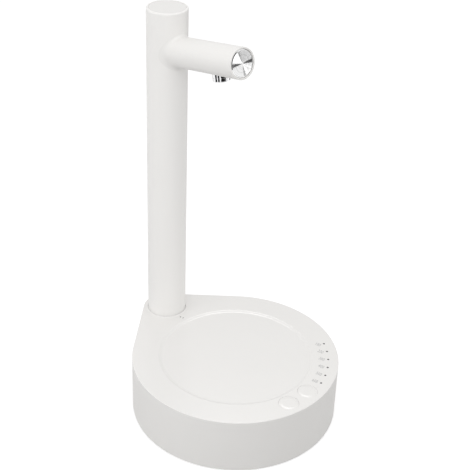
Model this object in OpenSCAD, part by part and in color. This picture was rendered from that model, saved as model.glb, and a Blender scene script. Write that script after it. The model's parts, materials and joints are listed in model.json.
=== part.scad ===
// Tabletop water pump: a round base with a cup tray, a standing column and a tilted spout over the tray.
// The origin lies on the table under the tray's centre, +Z is up and the column stands on +Y.

/* [Base] */
// Radius of the round part of the base
base_r = 91; // [86:1:105]
// Height of the base's top face above the table
base_h = 52.5; // [48:0.5:60]
// Ring of flat top between the column and the lobe's edge
lobe_margin = 4.3; // [4:0.1:7]
// Distance of the column's axis behind the tray's centre
column_y = 95.5; // [92:0.5:110]
// Wall thickness of the base shell
wall = 2.5; // [2:0.1:3]
// Rounding of the base's top edge
edge_round = 0.8; // [0.5:0.1:2.4]
// Thickness of the base's top under the tray
top_t = 2.5; // [2:0.1:3.5]
// Ring of flat top between the tray and the base's edge
tray_margin = 23; // [20:0.5:28]
// Width of the tray's sloping edge
tray_slope = 3; // [1:0.5:5]
// Depth of the tray
tray_depth = 1; // [0.5:0.1:2]
// Thickness of the bottom cover
cover_t = 2.5; // [2:0.1:4]
// Gap between the cover and the shell's wall
cover_gap = 0.3; // [0.1:0.05:0.6]
// Height of the shell's rim above the table
rim_h = 0.7; // [0.6:0.1:2]
// Height of the cover's underside above the shell's rim
cover_inset = 0.8; // [0:0.1:1]
// Distance of the anti-slip ring from the base's edge
foot_margin = 18; // [15:0.5:25]
// Width of the anti-slip ring
foot_ring_w = 7; // [4:0.5:8]
// Depth of the groove that holds the anti-slip ring
foot_ring_sink = 0.8; // [0.4:0.1:1.2]

/* [Column] */
// Outer diameter of the column
column_d = 34.4; // [32:0.2:36]
// Height of the column's top above the table
column_top = 346; // [280:1:400]
// Wall thickness of the column
column_wall = 1.8; // [1.4:0.1:2.2]
// Rounding of the column's top edge
column_round = 1.2; // [0.4:0.1:1.6]
// Thickness of the column's cap
cap_t = 4; // [2:0.5:8]
// Gap around the column where it enters the base
column_gap = 0.3; // [0.2:0.05:0.5]
// Height and width of the fillet round the column's foot
collar = 1.4; // [0.6:0.1:1.6]
// Depth of the column's end below the base's top face
seat_depth = 4; // [3.6:0.2:6]
// Thickness of the flange that the column stands on
flange_t = 2; // [1.5:0.1:3]
// Depth of the column foot's plug in the column
plug_len = 14; // [10:1:24]
// Diameter of the column foot's spigot
spigot_d = 26; // [22:0.5:26]
// Length of the column foot's spigot
spigot_len = 18; // [14:0.5:19]
// Reach of the bayonet lugs beyond the spigot
lug_reach = 2; // [1:0.1:2.2]
// Height of the bayonet lugs
lug_h = 3; // [2:0.2:5]
// Angle that each bayonet lug spans
lug_angle = 28; // [16:1:36]
// Twist that unlocks the column
twist = 30; // [15:1:45]
// Clearance of the turning foot in its socket
run_gap = 0.1; // [0.05:0.01:0.1]
// Clearance over and under the turning parts
face_gap = 0.3; // [0.2:0.05:0.5]
// Diameter of the foot's water stem
stem_d = 8.8; // [8.4:0.2:9.4]
// Length of the foot's water stem
stem_len = 12; // [10:0.5:13]
// Thickness of the foot's seal ring
seal_t = 1.8; // [1.4:0.1:2]

/* [Spout] */
// Outer diameter of the arm
arm_d = 25.4; // [24:0.2:26.6]
// Wall thickness of the arm
arm_wall = 1.4; // [1:0.1:1.8]
// Depth below the column's top where the arm's axis meets the column's axis
arm_drop = 36.5; // [28:0.5:60]
// Upward tilt of the arm
arm_tilt = 11.3; // [0:0.1:20]
// Length of the arm from the column's axis
arm_reach = 92; // [84:1:120]
// Depth that the arm's sides reach into the column's wall
arm_sink = 0.8; // [0.4:0.1:1.2]
// Depth of the metal disc in the arm's end
disc_recess = 1; // [0.4:0.1:2]
// Thickness of the metal disc
disc_t = 1; // [0.6:0.1:1.5]
// Length of the plug behind the metal disc
end_plug_len = 6; // [4:0.5:8]
// Distance of the nozzle from the arm's end
nozzle_back = 27; // [18:0.5:30]
// Outer diameter of the nozzle
nozzle_d = 14; // [12:0.2:15]
// Length of the nozzle below the arm
nozzle_drop = 4.8; // [3:0.2:10]
// Rounding of the nozzle's lip
nozzle_round = 1.2; // [0.4:0.1:1.6]
// Bore of the nozzle's mouth
mouth_d = 10.4; // [8:0.2:10.8]
// Depth of the flow straightener above the nozzle's lip
straightener_inset = 1; // [0.5:0.1:2]
// Length of the flow straightener
straightener_len = 4; // [2:0.5:6]
// Diameter of the straightener's holes
straightener_hole = 1.8; // [1:0.1:2.2]

/* [Controls] */
// Diameter of a push button
button_d = 16.6; // [14:0.2:18]
// Gap around a push button
button_gap = 0.35; // [0.3:0.05:0.6]
// Distance of the buttons' centres from the base's edge
button_edge = 13.25; // [12.5:0.25:14]
// Distance between the two buttons' centres
button_pitch = 22.8; // [21:0.1:26]
// Direction of the two buttons' middle, from +X
button_middle = -88.8; // [-92:0.1:-88]
// Travel of a push button
button_travel = 0.5; // [0.3:0.1:0.7]
// Width of the retaining rim under a button
button_rim = 1.2; // [0.8:0.1:1.6]
// Thickness of the retaining rim under a button
button_rim_t = 1.5; // [1:0.1:1.8]
// Chamfer round each button hole
button_chamfer = 0.7; // [0.2:0.1:1]
// Depth of the finger dish in a button
button_dish = 0.4; // [0.1:0.1:0.8]
// Number of indicator lamps
led_count = 6; // [3:1:6]
// Distance of the indicator lamps from the base's edge
led_edge = 9; // [8.8:0.1:12]
// Angle between two indicator lamps
led_step = 8; // [6:0.5:8]
// Direction of the row's middle, from +X
led_middle = -48.6; // [-52:0.1:-46]
// Diameter of an indicator lamp's window
led_d = 1.8; // [1:0.1:3]
// Thickness of the control board
board_t = 1.6; // [1:0.1:2]
// Radial width of the control board
board_w = 23; // [21:0.5:25]
// Distance of the control board's upper face below the shell's top
board_drop = 5; // [4.6:0.1:7]
// Height of a switch's body
switch_h = 2.2; // [1.5:0.1:2.4]
// Width of a switch's body
switch_w = 6; // [5:0.5:7]
// Diameter of a switch's plunger
plunger_d = 3.4; // [2.5:0.1:4]

/* [Water path] */
// Outer diameter of the hoses
hose_d = 8; // [7.4:0.1:9]
// Inner diameter of the hoses
hose_bore = 6.2; // [6.1:0.05:6.6]
// Diameter of the hose barbs
barb_d = 6; // [5.6:0.1:6]
// Length of the hose barbs
barb_len = 11; // [8:0.5:12]
// Diameter of the water channels
channel_d = 4; // [3:0.1:4.4]
// Height of the hose inlet above the bottom cover
inlet_h = 16; // [14:1:24]
// Distance of the hose inlet in front of the lobe, along the flat wall
inlet_along = 50; // [46:0.5:53]
// Outer diameter of the supply hose that the inlet takes
supply_d = 8; // [6:0.1:9]
// Clearance of the supply hose in the inlet
supply_gap = 0.1; // [0.05:0.05:0.3]
// Depth of the inlet's socket
inlet_depth = 13; // [9:0.5:15]
// Diameter of the inlet's body
inlet_d = 13; // [12:0.5:14]
// Diameter of the inlet's collar
inlet_collar_d = 17; // [15.5:0.5:19]
// Thickness of the inlet's collar
inlet_collar_t = 1.6; // [1:0.2:3]
// Thickness of the inlet's nut
inlet_nut_t = 4; // [3:0.5:6]
// Thickness of the inlet's seal
inlet_seal_t = 1.2; // [0.8:0.1:2]

/* [Pump] */
// Place of the motor's front face, from the tray's centre to the right
pump_x = 25; // [24:1:30]
// Place of the motor's front face, from the tray's centre to the back
pump_y = -4; // [-6:1:2]
// Thickness of the cradle under the motor
cradle_floor = 1.5; // [1:0.1:3]
// Diameter of the motor
motor_d = 24.4; // [22:0.2:25]
// Length of the motor
motor_l = 30.8; // [28:0.2:34]
// Wall thickness of the motor's can
can_wall = 1; // [0.6:0.1:1.4]
// Diameter of the motor's shaft
shaft_d = 2; // [1.5:0.1:2.4]
// Clearance of the running shafts
shaft_gap = 0.04; // [0.02:0.01:0.08]
// Diameter of the shaft's bushes
bush_d = 6; // [5:0.2:7]
// Length of the shaft's bushes
bush_len = 3; // [2:0.5:4]
// Number of teeth on each gear
gear_teeth = 12; // [10:1:13]
// Tooth module of the gears
gear_module = 1; // [0.8:0.05:1]
// Width of the gears
gear_w = 6; // [4:0.5:8]
// Play between the gears' flanks
backlash = 0.2; // [0.1:0.05:0.4]
// Clearance of the gears in their chamber
chamber_gap = 0.2; // [0.1:0.05:0.4]
// Wall of the pump body behind the gears
pump_wall = 4; // [3.5:0.5:6]
// Thickness of the pump body beside and under the gear chamber
pump_rim = 4.6; // [4.4:0.1:5.4]
// Share of the room over the gear chamber that the pump body takes up
pump_rim_share = 0.62; // [0.5:0.01:0.7]
// Thickness of the pump's gasket
gasket_t = 0.5; // [0.3:0.1:1]
// Thickness of the pump's end plate
plate_t = 4; // [3:0.5:6]
// Diameter of the idler gear's pin
pin_d = 3; // [2:0.2:3.4]
// Thickness of the rubber damper round the motor
damper_t = 2.2; // [1.5:0.1:2.4]
// Length of the cradle along the motor
cradle_len = 12; // [8:1:16]
// Thickness of the cradle's clamp
clamp_t = 2.4; // [2:0.1:3]

/* [Power] */
// Diameter of a battery cell
cell_d = 18.4; // [16:0.2:18.6]
// Length of a battery cell
cell_l = 65; // [48:1:66]
// Number of battery cells
cell_count = 2; // [1:1:2]
// Clearance round each battery cell
cell_gap = 0.5; // [0.3:0.1:1]
// Place of the battery tray's middle, to the left of the tray's centre
battery_x = 29; // [28:1:32]
// Wall thickness of the battery tray
battery_wall = 1.5; // [1:0.1:2]
// Width of the battery strap
strap_w = 12; // [8:1:16]
// Thickness of the battery strap
strap_t = 1; // [0.6:0.1:1.6]
// Width of the charging socket
usb_w = 8.9; // [8:0.1:10]
// Height of the charging socket
usb_h = 3.3; // [3:0.1:5]
// Depth of the charging socket
usb_l = 8; // [7:0.2:10]
// Wall of the charging socket
usb_wall = 0.4; // [0.3:0.05:0.5]
// Depth of the charging socket's mouth below the wall's outer face
usb_sink = 0.6; // [0.2:0.1:1]
// Distance of the charging socket in front of the lobe, along the flat wall
usb_along = 22; // [20:0.5:24]
// Height of the charging board above the bottom cover
usb_board_h = 8; // [6:0.5:12]
// Thickness of the charging board
usb_board_t = 1.2; // [1:0.1:1.6]

/* [Fasteners] */
// Diameter of the screws
screw_d = 2.6; // [2:0.1:3]
// Diameter of the screws' heads
head_d = 5; // [4:0.2:5.6]
// Height of the screws' heads
head_h = 1.6; // [1:0.1:1.8]
// Clearance of a screw in its hole
screw_gap = 0.1; // [0.05:0.05:0.2]
// Diameter of the screw posts
post_d = 8; // [7:0.5:9]
// Length of the cover's screws below their heads
cover_screw_len = 10; // [8:1:14]
// Depth of thread that the other screws reach into their posts
screw_bite = 4; // [3:0.5:5]

/* [Hidden] */

$fn = 96;
// Overshoot of a cutting shape past the face that it cuts
cut = 1;
// Clearance of a piece that is glued or pressed into another
snug = 0.05;

// Levels of the base
cover_z = rim_h + cover_inset;
floor_z = cover_z + cover_t;
ceiling_z = base_h - tray_depth - top_t;
board_z = ceiling_z - board_drop;

// Outline of the base: the two flat walls behind run from the round part to the lobe, a hair inside
// the line that touches both
flat_sink = 0.1;
lobe_r = column_d / 2 + lobe_margin;
flat_r = lobe_r - flat_sink;
flat_angle = acos((base_r - lobe_r) / column_y);
flat_len = column_y * sin(flat_angle);
tray_r = base_r - tray_margin;
foot_ring_r = base_r - foot_margin - foot_ring_w;

// Levels and radii of the column's joint
column_r = column_d / 2;
column_bore_r = column_r - column_wall;
column_end_z = base_h - seat_depth;
flange_z = column_end_z - flange_t;
socket_z = flange_z - face_gap;
spigot_z = flange_z - spigot_len;
lug_z = spigot_z + 2;
well_top_z = spigot_z - face_gap;
stem_z = spigot_z - stem_len;
stem_seal_z = spigot_z - stem_len / 2;
well_z = stem_z - channel_d + 0.5;
well_wall = 2.5;
well_r = stem_d / 2 + 0.7;
seal_mid_r = well_r - snug - seal_t / 2;
socket_floor_t = 3;
socket_r = spigot_d / 2 + run_gap + lug_reach + face_gap + 1.6;
socket_lip_t = 3;
ear_r = 4.2;
ear_reach = socket_r + 5;
ear_angles = [-20, 200, 270];
socket_port_y = column_y - well_r - well_wall;
socket_port_z = well_z + channel_d / 2 + 0.3;

// Spout
arm_r = arm_d / 2;
arm_bore_r = arm_r - arm_wall;
arm_in = sqrt(pow(column_r, 2) - pow(arm_r, 2)) / cos(arm_tilt) - arm_sink;
arm_z = column_top - arm_drop;
elbow_half = 15;
elbow_nose = 11;
elbow_z = arm_z - elbow_half;
nozzle_at = arm_reach - nozzle_back;
holder_half = nozzle_d / 2 + 1.5;
nozzle_top = 3;
nozzle_end = arm_r + nozzle_drop;

// Controls
button_r = button_d / 2;
button_ring_r = base_r - button_edge;
button_angle = asin(button_pitch / 2 / button_ring_r);
led_ring_r = base_r - led_edge;
board_out_r = base_r - wall - 2.5;
board_in_r = board_out_r - board_w;
board_start = -112;
board_sweep = 94;
boss_angles = [-109, -72, -21];
boss_ring_r = board_in_r + 4;
boss_d = 6.4;
socket_size = [8, 6, 5];

// Pump
motor_r = motor_d / 2;
damper_r = motor_r + snug + damper_t;
cradle_r = damper_r + snug;
pump_h = cradle_r + cradle_floor;
pump_z = floor_z + pump_h;
gear_r = gear_module * gear_teeth / 2;
gear_tip_r = gear_r + 0.9 * gear_module;
gear_root_r = gear_r - 1.1 * gear_module;
gear_pressure = 28;
gear_pitch = 2 * gear_r + 0.1;
chamber_r = gear_tip_r + chamber_gap;
port_x = chamber_r - 0.3;
chamber_end = pump_wall + gear_w + 2 * chamber_gap;
plate_z = chamber_end + gasket_t;
plate_end = plate_z + plate_t;
pump_side = chamber_r + pump_rim;
pump_room = ceiling_z - pump_z - gear_pitch - chamber_r;
pump_top = gear_pitch + chamber_r + pump_rim_share * pump_room;
pump_collar = 5;
pump_collar_t = 2;
pump_screw_in = 3;
cradle_mid = -0.6 * motor_l;
clamp_r = cradle_r + clamp_t;
clamp_ear = 8;
clamp_screw_x = clamp_r + clamp_ear / 2;
cradle_foot_y = pump_y + cradle_mid + cradle_len / 2 + clamp_ear / 2;

// Power
cell_step = cell_d + cell_gap;
battery_w = cell_count * cell_step + cell_gap + 2 * battery_wall;
battery_len = cell_l + 2 * cell_gap + 2 * battery_wall;
battery_z = floor_z + battery_wall;
battery_side_h = 12;
strap_foot = 8;
strap_screw_x = battery_w / 2 + snug + strap_t + strap_foot / 2;
bracket_h = 5;
bracket_d = 6;
cradle_foot_t = 2;
usb_z = floor_z + usb_board_h;
usb_board_size = [14, 17];
usb_board_x = wall + 0.8;
usb_post_d = 5;
usb_screw_y = 5.6;

// Screw posts between the shell and the cover
post_ring_r = base_r - wall - post_d / 2 - 4.5;
post_in_r = foot_ring_r - 10;
cover_posts = concat([for (a = [-6, 32, 117, 174, -122]) polar(a, post_ring_r)], [polar(-88, post_in_r)]);
lead_d = 1.6;

function polar(a, r) = [r * cos(a), r * sin(a)];
function lift(p, z) = [p[0], p[1], z];
function unit(v) = v / norm(v);
function flat_n(side) = [side * sin(flat_angle), cos(flat_angle)];

// A point on the right flat wall: outwards from it, forwards along it and up
function on_flat(out, along, z) =
    lift([0, column_y] + (flat_r + out) * flat_n(1) + along * [cos(flat_angle), -sin(flat_angle)], z);

function button_place(side) = polar(button_middle + side * button_angle, button_ring_r);
function led_angle(i) = led_middle + (i - (led_count - 1) / 2) * led_step;
function boss_place(i) = polar(boss_angles[i], boss_ring_r);

function bezier(p, t) =
    pow(1 - t, 3) * p[0] + 3 * pow(1 - t, 2) * t * p[1] + 3 * (1 - t) * t * t * p[2] + pow(t, 3) * p[3];

// A route that leaves the first end along its direction and comes to the second end against its direction
function route(a, a_dir, b, b_dir, grip, reach, steps) = concat(
    [a],
    [for (i = [0:steps]) bezier([
        a + a_dir * grip,
        a + a_dir * (grip + reach[0]),
        b + b_dir * (grip + reach[1]),
        b + b_dir * grip], i / steps)],
    [b]);

function heading(path, i) = unit(path[min(i + 1, len(path) - 1)] - path[max(i - 1, 0)]);

function ring(path, i, r, sides, ref) =
    let (t = heading(path, i), u = unit(cross(t, ref)), v = cross(u, t))
    [for (k = [0:sides - 1]) path[i] + r * (cos(360 * k / sides) * u + sin(360 * k / sides) * v)];

// Triangles of a band between two rings of points, seen from outside or from inside
function band(first, second, sides, flip) = [
    for (k = [0:sides - 1])
        let (l = (k + 1) % sides)
        each flip
            ? [[first + k, second + k, second + l], [first + k, second + l, first + l]]
            : [[first + k, second + l, second + k], [first + k, first + l, second + l]]];

// Solid wire along a route
module wire(path, d, sides, ref) {
    n = len(path);
    polyhedron(
        concat(
            [for (i = [0:n - 1]) each ring(path, i, d / 2, sides, ref)],
            [path[0], path[n - 1]]),
        concat(
            [for (i = [0:n - 2]) each band(i * sides, (i + 1) * sides, sides, false)],
            [for (k = [0:sides - 1]) [n * sides, (k + 1) % sides, k]],
            [for (k = [0:sides - 1])
                [n * sides + 1, (n - 1) * sides + k, (n - 1) * sides + (k + 1) % sides]]));
}

// Hollow hose along a route; its flats, not its corners, stay clear of the barb inside
module hose(path, d, bore, sides, ref) {
    n = len(path);
    inner = n * sides;
    bore_r = bore / 2 / cos(180 / sides);
    polyhedron(
        concat(
            [for (i = [0:n - 1]) each ring(path, i, d / 2, sides, ref)],
            [for (i = [0:n - 1]) each ring(path, i, bore_r, sides, ref)]),
        concat(
            [for (i = [0:n - 2]) each band(i * sides, (i + 1) * sides, sides, false)],
            [for (i = [0:n - 2]) each band(inner + i * sides, inner + (i + 1) * sides, sides, true)],
            band(0, inner, sides, true),
            band((n - 1) * sides, inner + (n - 1) * sides, sides, false)));
}

// Frames of the parts that don't stand upright

// Along the right flat wall: x points out of the wall, y towards the lobe
module flat_frame(along, z) {
    translate([0, column_y, z])
        rotate(90 - flat_angle)
            translate([flat_r, -along, 0])
                children();
}

// Along the arm: z runs along the arm's axis from the column's axis, y points up
module arm_frame() {
    translate([0, column_y, arm_z])
        rotate([90 - arm_tilt, 0, 0])
            children();
}

// Along the nozzle: z points down out of the arm
module nozzle_frame() {
    arm_frame()
        translate([0, 0, nozzle_at])
            rotate([90, 0, 0])
                children();
}

// Along the pump: z runs along the motor's shaft to the back, y points up
module pump_frame() {
    translate([pump_x, pump_y, pump_z])
        rotate([90, 0, 180])
            children();
}

// Shapes that several parts share

// Footprint of the base, drawn in all round by the given amount
module footprint(inset) {
    circle(base_r - inset);
    translate([0, column_y])
        circle(lobe_r - inset);
    polygon([
        (base_r - flat_sink - inset) * flat_n(-1),
        (base_r - flat_sink - inset) * flat_n(1),
        [0, column_y] + (flat_r - inset) * flat_n(1),
        [0, column_y] + (flat_r - inset) * flat_n(-1)]);
}

// Section of the block from its inside to the outer wall, with a rounded top edge
module edge_section(r, h) {
    difference() {
        square([r, h]);
        translate([r - edge_round, h - edge_round])
            difference() {
                square(edge_round + cut);
                circle(edge_round);
            }
    }
}

// The base's outer form as one block: the round part, the lobe and a deep strip behind each flat wall
module base_block() {
    h = base_h - rim_h;
    strip = base_r / 2;
    rotate_extrude()
        edge_section(base_r, h);
    translate([0, column_y, 0])
        rotate_extrude()
            edge_section(lobe_r, h);
    for (side = [0, 1])
        mirror([side, 0, 0])
            translate([0, column_y, 0])
                rotate(90 - flat_angle)
                    rotate([90, 0, 0])
                        linear_extrude(flat_len)
                            translate([flat_r - strip, 0])
                                edge_section(strip, h);
}

module pipe(r, bore_r, h) {
    difference() {
        cylinder(r = r, h = h);
        translate([0, 0, -cut])
            cylinder(r = bore_r, h = h + 2 * cut);
    }
}

// Part of a ring round the z axis
module sector(r1, r2, h, start, sweep) {
    rotate(start)
        rotate_extrude(angle = sweep)
            translate([r1, 0])
                square([r2 - r1, h]);
}

// Hose barb with three ridges, standing on its root
module barb() {
    ridge = barb_len / 3;
    cylinder(d = barb_d - 0.6, h = barb_len);
    for (i = [0:2])
        translate([0, 0, i * ridge + ridge / 3])
            cylinder(d1 = barb_d, d2 = barb_d - 0.6, h = ridge / 2);
}

// Screw with its head below the origin's plane and its shank upwards
module screw(len) {
    translate([0, 0, -head_h])
        cylinder(d = head_d, h = head_h);
    translate([0, 0, -snug])
        cylinder(d = screw_d, h = len + snug);
}

module screw_hole(len) {
    cylinder(d = screw_d + 2 * screw_gap, h = len);
}

// Base

module base_shell() {
    color("white") {
        difference() {
            union() {
                shell_body();
                shell_posts();
            }
            shell_holes();
        }
        column_collar();
    }
}

module shell_body() {
    difference() {
        translate([0, 0, rim_h])
            base_block();
        translate([0, 0, rim_h - cut])
            linear_extrude(ceiling_z - rim_h + cut)
                footprint(wall);
        translate([0, 0, base_h - tray_depth])
            rotate_extrude()
                polygon([
                    [0, 0],
                    [tray_r - tray_slope, 0],
                    [tray_r, tray_depth],
                    [tray_r, tray_depth + cut],
                    [0, tray_depth + cut]]);
    }
}

module shell_posts() {
    for (p = cover_posts)
        translate(lift(p, floor_z))
            cylinder(d = post_d, h = ceiling_z - floor_z + snug);
    for (i = [0:2])
        translate(lift(boss_place(i), board_z))
            cylinder(d = boss_d, h = board_drop + snug);
    translate([0, column_y, socket_z]) {
        pipe(column_r + column_gap + 1.6, column_r + column_gap, ceiling_z - socket_z + snug);
        for (a = ear_angles)
            translate(lift(polar(a, ear_reach), 0))
                cylinder(r = ear_r, h = ceiling_z - socket_z + snug);
    }
}

module shell_holes() {
    for (p = cover_posts)
        translate(lift(p, floor_z - cut))
            screw_hole(cover_screw_len + cut);
    for (i = [0:2])
        translate(lift(boss_place(i), board_z - cut))
            screw_hole(screw_bite + cut);
    translate([0, column_y, socket_z - cut]) {
        cylinder(r = column_r + column_gap, h = base_h - socket_z + 2 * cut);
        for (a = ear_angles)
            translate(polar(a, ear_reach))
                screw_hole(screw_bite + cut);
    }
    for (side = [-1, 1])
        translate(lift(button_place(side), base_h)) {
            translate([0, 0, ceiling_z - base_h - cut])
                cylinder(r = button_r + button_gap, h = base_h - ceiling_z + 2 * cut);
            translate([0, 0, -button_chamfer])
                cylinder(
                    r1 = button_r + button_gap,
                    r2 = button_r + button_gap + button_chamfer + 0.2,
                    h = button_chamfer + 0.2);
        }
    for (i = [0:led_count - 1])
        translate(lift(polar(led_angle(i), led_ring_r), ceiling_z - cut))
            cylinder(d = led_d + 2 * snug, h = base_h - ceiling_z + 2 * cut);
    flat_frame(inlet_along, floor_z + inlet_h)
        rotate([0, -90, 0])
            translate([0, 0, -cut])
                cylinder(d = inlet_d + 2 * snug, h = wall + 2 * cut);
    flat_frame(usb_along, usb_z + usb_board_t + usb_h / 2)
        usb_form(snug + 0.2, wall + cut, cut);
}

// Fillet on the base's top round the column's foot
module column_collar() {
    inner_r = column_r + column_gap;
    translate([0, column_y, base_h])
        rotate_extrude()
            difference() {
                translate([inner_r, -snug])
                    square([collar, collar + snug]);
                translate([inner_r + collar, collar])
                    circle(collar - 0.2);
            }
}

module bottom_cover() {
    color("gainsboro") {
        difference() {
            translate([0, 0, cover_z])
                linear_extrude(cover_t)
                    footprint(wall + cover_gap);
            translate([0, 0, cover_z - cut])
                pipe(foot_ring_r + foot_ring_w + snug, foot_ring_r - snug, foot_ring_sink + cut);
            for (p = cover_posts) {
                translate(lift(p, cover_z - cut))
                    screw_hole(cover_t + 2 * cut);
                translate(lift(p, cover_z - cut))
                    cylinder(d = head_d + 0.6, h = head_h + cut);
            }
        }
        bracket_places()
            translate([0, 0, -bracket_h - snug])
                difference() {
                    cylinder(d = bracket_d, h = bracket_h + snug);
                    translate([0, 0, bracket_h - screw_bite])
                        screw_hole(screw_bite + cut);
                }
        for (y = [-1, 1])
            translate(on_flat(-usb_board_x - 10, usb_along + y * usb_screw_y, floor_z - snug))
                pipe(usb_post_d / 2, screw_d / 2 + screw_gap, usb_board_h + snug);
    }
}

// Tops of the bosses on the cover that the strap and the cradle are screwed to
module bracket_places() {
    for (x = [-1, 1]) {
        translate([-battery_x + x * strap_screw_x, 0, floor_z + bracket_h])
            children();
        translate([pump_x + x * clamp_screw_x, cradle_foot_y, floor_z + bracket_h])
            children();
    }
}

module foot_ring() {
    color("dimgray")
        pipe(foot_ring_r + foot_ring_w, foot_ring_r, cover_z + foot_ring_sink);
}

module cover_screws() {
    color("silver")
        for (p = cover_posts)
            translate(lift(p, cover_z + head_h))
                screw(cover_screw_len + cover_t - head_h - cut);
}

// Column joint

module column_socket() {
    color("whitesmoke")
        difference() {
            union() {
                translate([0, column_y, 0]) {
                    translate([0, 0, well_top_z - socket_floor_t])
                        cylinder(r = socket_r, h = socket_z - well_top_z + socket_floor_t - socket_lip_t / 2);
                    translate([0, 0, well_z - well_wall])
                        cylinder(r = well_r + well_wall, h = well_top_z - well_z);
                    translate([0, 0, socket_z - socket_lip_t])
                        linear_extrude(socket_lip_t)
                            socket_outline();
                }
                translate([0, socket_port_y + well_wall, socket_port_z])
                    rotate([90, 0, 0]) {
                        cylinder(d = barb_d, h = well_wall + 1);
                        translate([0, 0, well_wall])
                            barb();
                    }
            }
            translate([0, column_y, 0]) {
                translate([0, 0, well_top_z])
                    cylinder(d = spigot_d + 2 * run_gap, h = socket_z - well_top_z + cut);
                translate([0, 0, well_z])
                    cylinder(r = well_r, h = well_top_z - well_z + cut);
                for (half = [0, 180])
                    bayonet_slot(half);
                for (a = ear_angles)
                    translate(lift(polar(a, ear_reach), socket_z - socket_lip_t - cut))
                        screw_hole(socket_lip_t + 2 * cut);
            }
            translate([0, column_y, socket_port_z])
                rotate([90, 0, 0])
                    cylinder(d = channel_d, h = well_r + well_wall + barb_len + 2 * cut);
        }
}

// Outline of the socket's lip with its ears for the screws
module socket_outline() {
    web = 1.6 * ear_r;
    circle(socket_r + 0.4);
    for (a = ear_angles) {
        translate(polar(a, ear_reach))
            circle(ear_r);
        rotate(a)
            translate([0, -web / 2])
                square([ear_reach, web]);
    }
}

// Slot for one lug: an entry from above at the unlocked angle and a groove back to the locked angle
module bayonet_slot(half) {
    play = 1;
    entry_play = 1.4;
    inner_r = spigot_d / 4;
    outer_r = spigot_d / 2 + lug_reach + face_gap;
    start = half - lug_angle / 2;
    translate([0, 0, lug_z - face_gap])
        sector(inner_r, outer_r, lug_h + 2 * face_gap, start - play, lug_angle + twist + 2 * play);
    translate([0, 0, lug_z])
        sector(
            inner_r + 1,
            outer_r + 0.2,
            socket_z - lug_z + cut,
            start + twist - entry_play,
            lug_angle + 2 * entry_play);
}

module socket_screws() {
    color("silver")
        for (a = ear_angles)
            translate([0, column_y, socket_z - socket_lip_t])
                translate(polar(a, ear_reach))
                    screw(socket_lip_t + screw_bite - 0.5);
}

module column_foot() {
    color("whitesmoke")
        translate([0, column_y, 0])
            difference() {
                union() {
                    translate([0, 0, flange_z])
                        cylinder(r = column_r, h = flange_t);
                    translate([0, 0, column_end_z - snug])
                        cylinder(r = column_bore_r - snug, h = plug_len + snug);
                    translate([0, 0, column_end_z + plug_len - snug])
                        barb();
                    translate([0, 0, spigot_z])
                        cylinder(d = spigot_d, h = spigot_len + snug);
                    for (half = [0, 180])
                        translate([0, 0, lug_z])
                            sector(
                                spigot_d / 4,
                                spigot_d / 2 + lug_reach,
                                lug_h,
                                half - lug_angle / 2,
                                lug_angle);
                    translate([0, 0, stem_z])
                        cylinder(d = stem_d, h = stem_len + snug);
                }
                translate([0, 0, stem_z - cut])
                    cylinder(d = channel_d, h = column_end_z + plug_len + barb_len - stem_z + 2 * cut);
                translate([0, 0, stem_seal_z - seal_t / 2 - snug])
                    pipe(stem_d, seal_mid_r - seal_t / 2 - snug, seal_t + 2 * snug);
            }
}

module foot_seal() {
    color("black")
        translate([0, column_y, stem_seal_z])
            rotate_extrude()
                translate([seal_mid_r, 0])
                    circle(d = seal_t);
}

module column_tube() {
    color("white")
        difference() {
            translate([0, column_y, column_end_z])
                rotate_extrude()
                    difference() {
                        translate([column_bore_r, 0])
                            square([column_wall, column_top - column_end_z]);
                        translate([column_r - column_round, column_top - column_end_z - column_round])
                            difference() {
                                square(column_round + cut);
                                circle(column_round);
                            }
                    }
            arm_frame()
                cylinder(r = arm_r + snug, h = arm_reach);
        }
}

module column_cap() {
    color("white")
        translate([0, column_y, column_top - cap_t])
            cylinder(r = column_bore_r - snug, h = cap_t);
}

module riser_hose() {
    bottom = column_end_z + plug_len + snug;
    color("lightgray")
        translate([0, column_y, bottom])
            pipe(hose_d / 2, hose_bore / 2, elbow_z - snug - bottom);
}

// Spout

module spout_elbow() {
    color("whitesmoke")
        difference() {
            union() {
                difference() {
                    translate([0, column_y, elbow_z])
                        cylinder(r = column_bore_r - snug, h = 2 * elbow_half);
                    arm_frame()
                        translate([-column_d, -column_d, arm_in - snug])
                            cube([2 * column_d, 2 * column_d, column_d]);
                }
                arm_frame() {
                    translate([0, 0, arm_in - 2])
                        cylinder(r = arm_bore_r - snug, h = elbow_nose + 2);
                    translate([0, 0, arm_in + elbow_nose - snug])
                        barb();
                }
                translate([0, column_y, elbow_z + snug])
                    mirror([0, 0, 1])
                        barb();
            }
            translate([0, column_y, elbow_z - barb_len - cut])
                cylinder(d = channel_d, h = elbow_half + barb_len + cut);
            arm_frame()
                cylinder(d = channel_d, h = arm_in + elbow_nose + barb_len + cut);
            translate([0, column_y, arm_z])
                sphere(d = channel_d);
        }
}

module arm_tube() {
    color("white")
        difference() {
            arm_frame()
                translate([0, 0, arm_in])
                    pipe(arm_r, arm_bore_r, arm_reach - arm_in);
            nozzle_frame()
                cylinder(r = nozzle_d / 2 + snug, h = arm_d);
        }
}

module arm_hose() {
    start = arm_in + elbow_nose + snug;
    color("lightgray")
        arm_frame()
            translate([0, 0, start])
                pipe(hose_d / 2, hose_bore / 2, nozzle_at - holder_half - snug - start);
}

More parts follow.
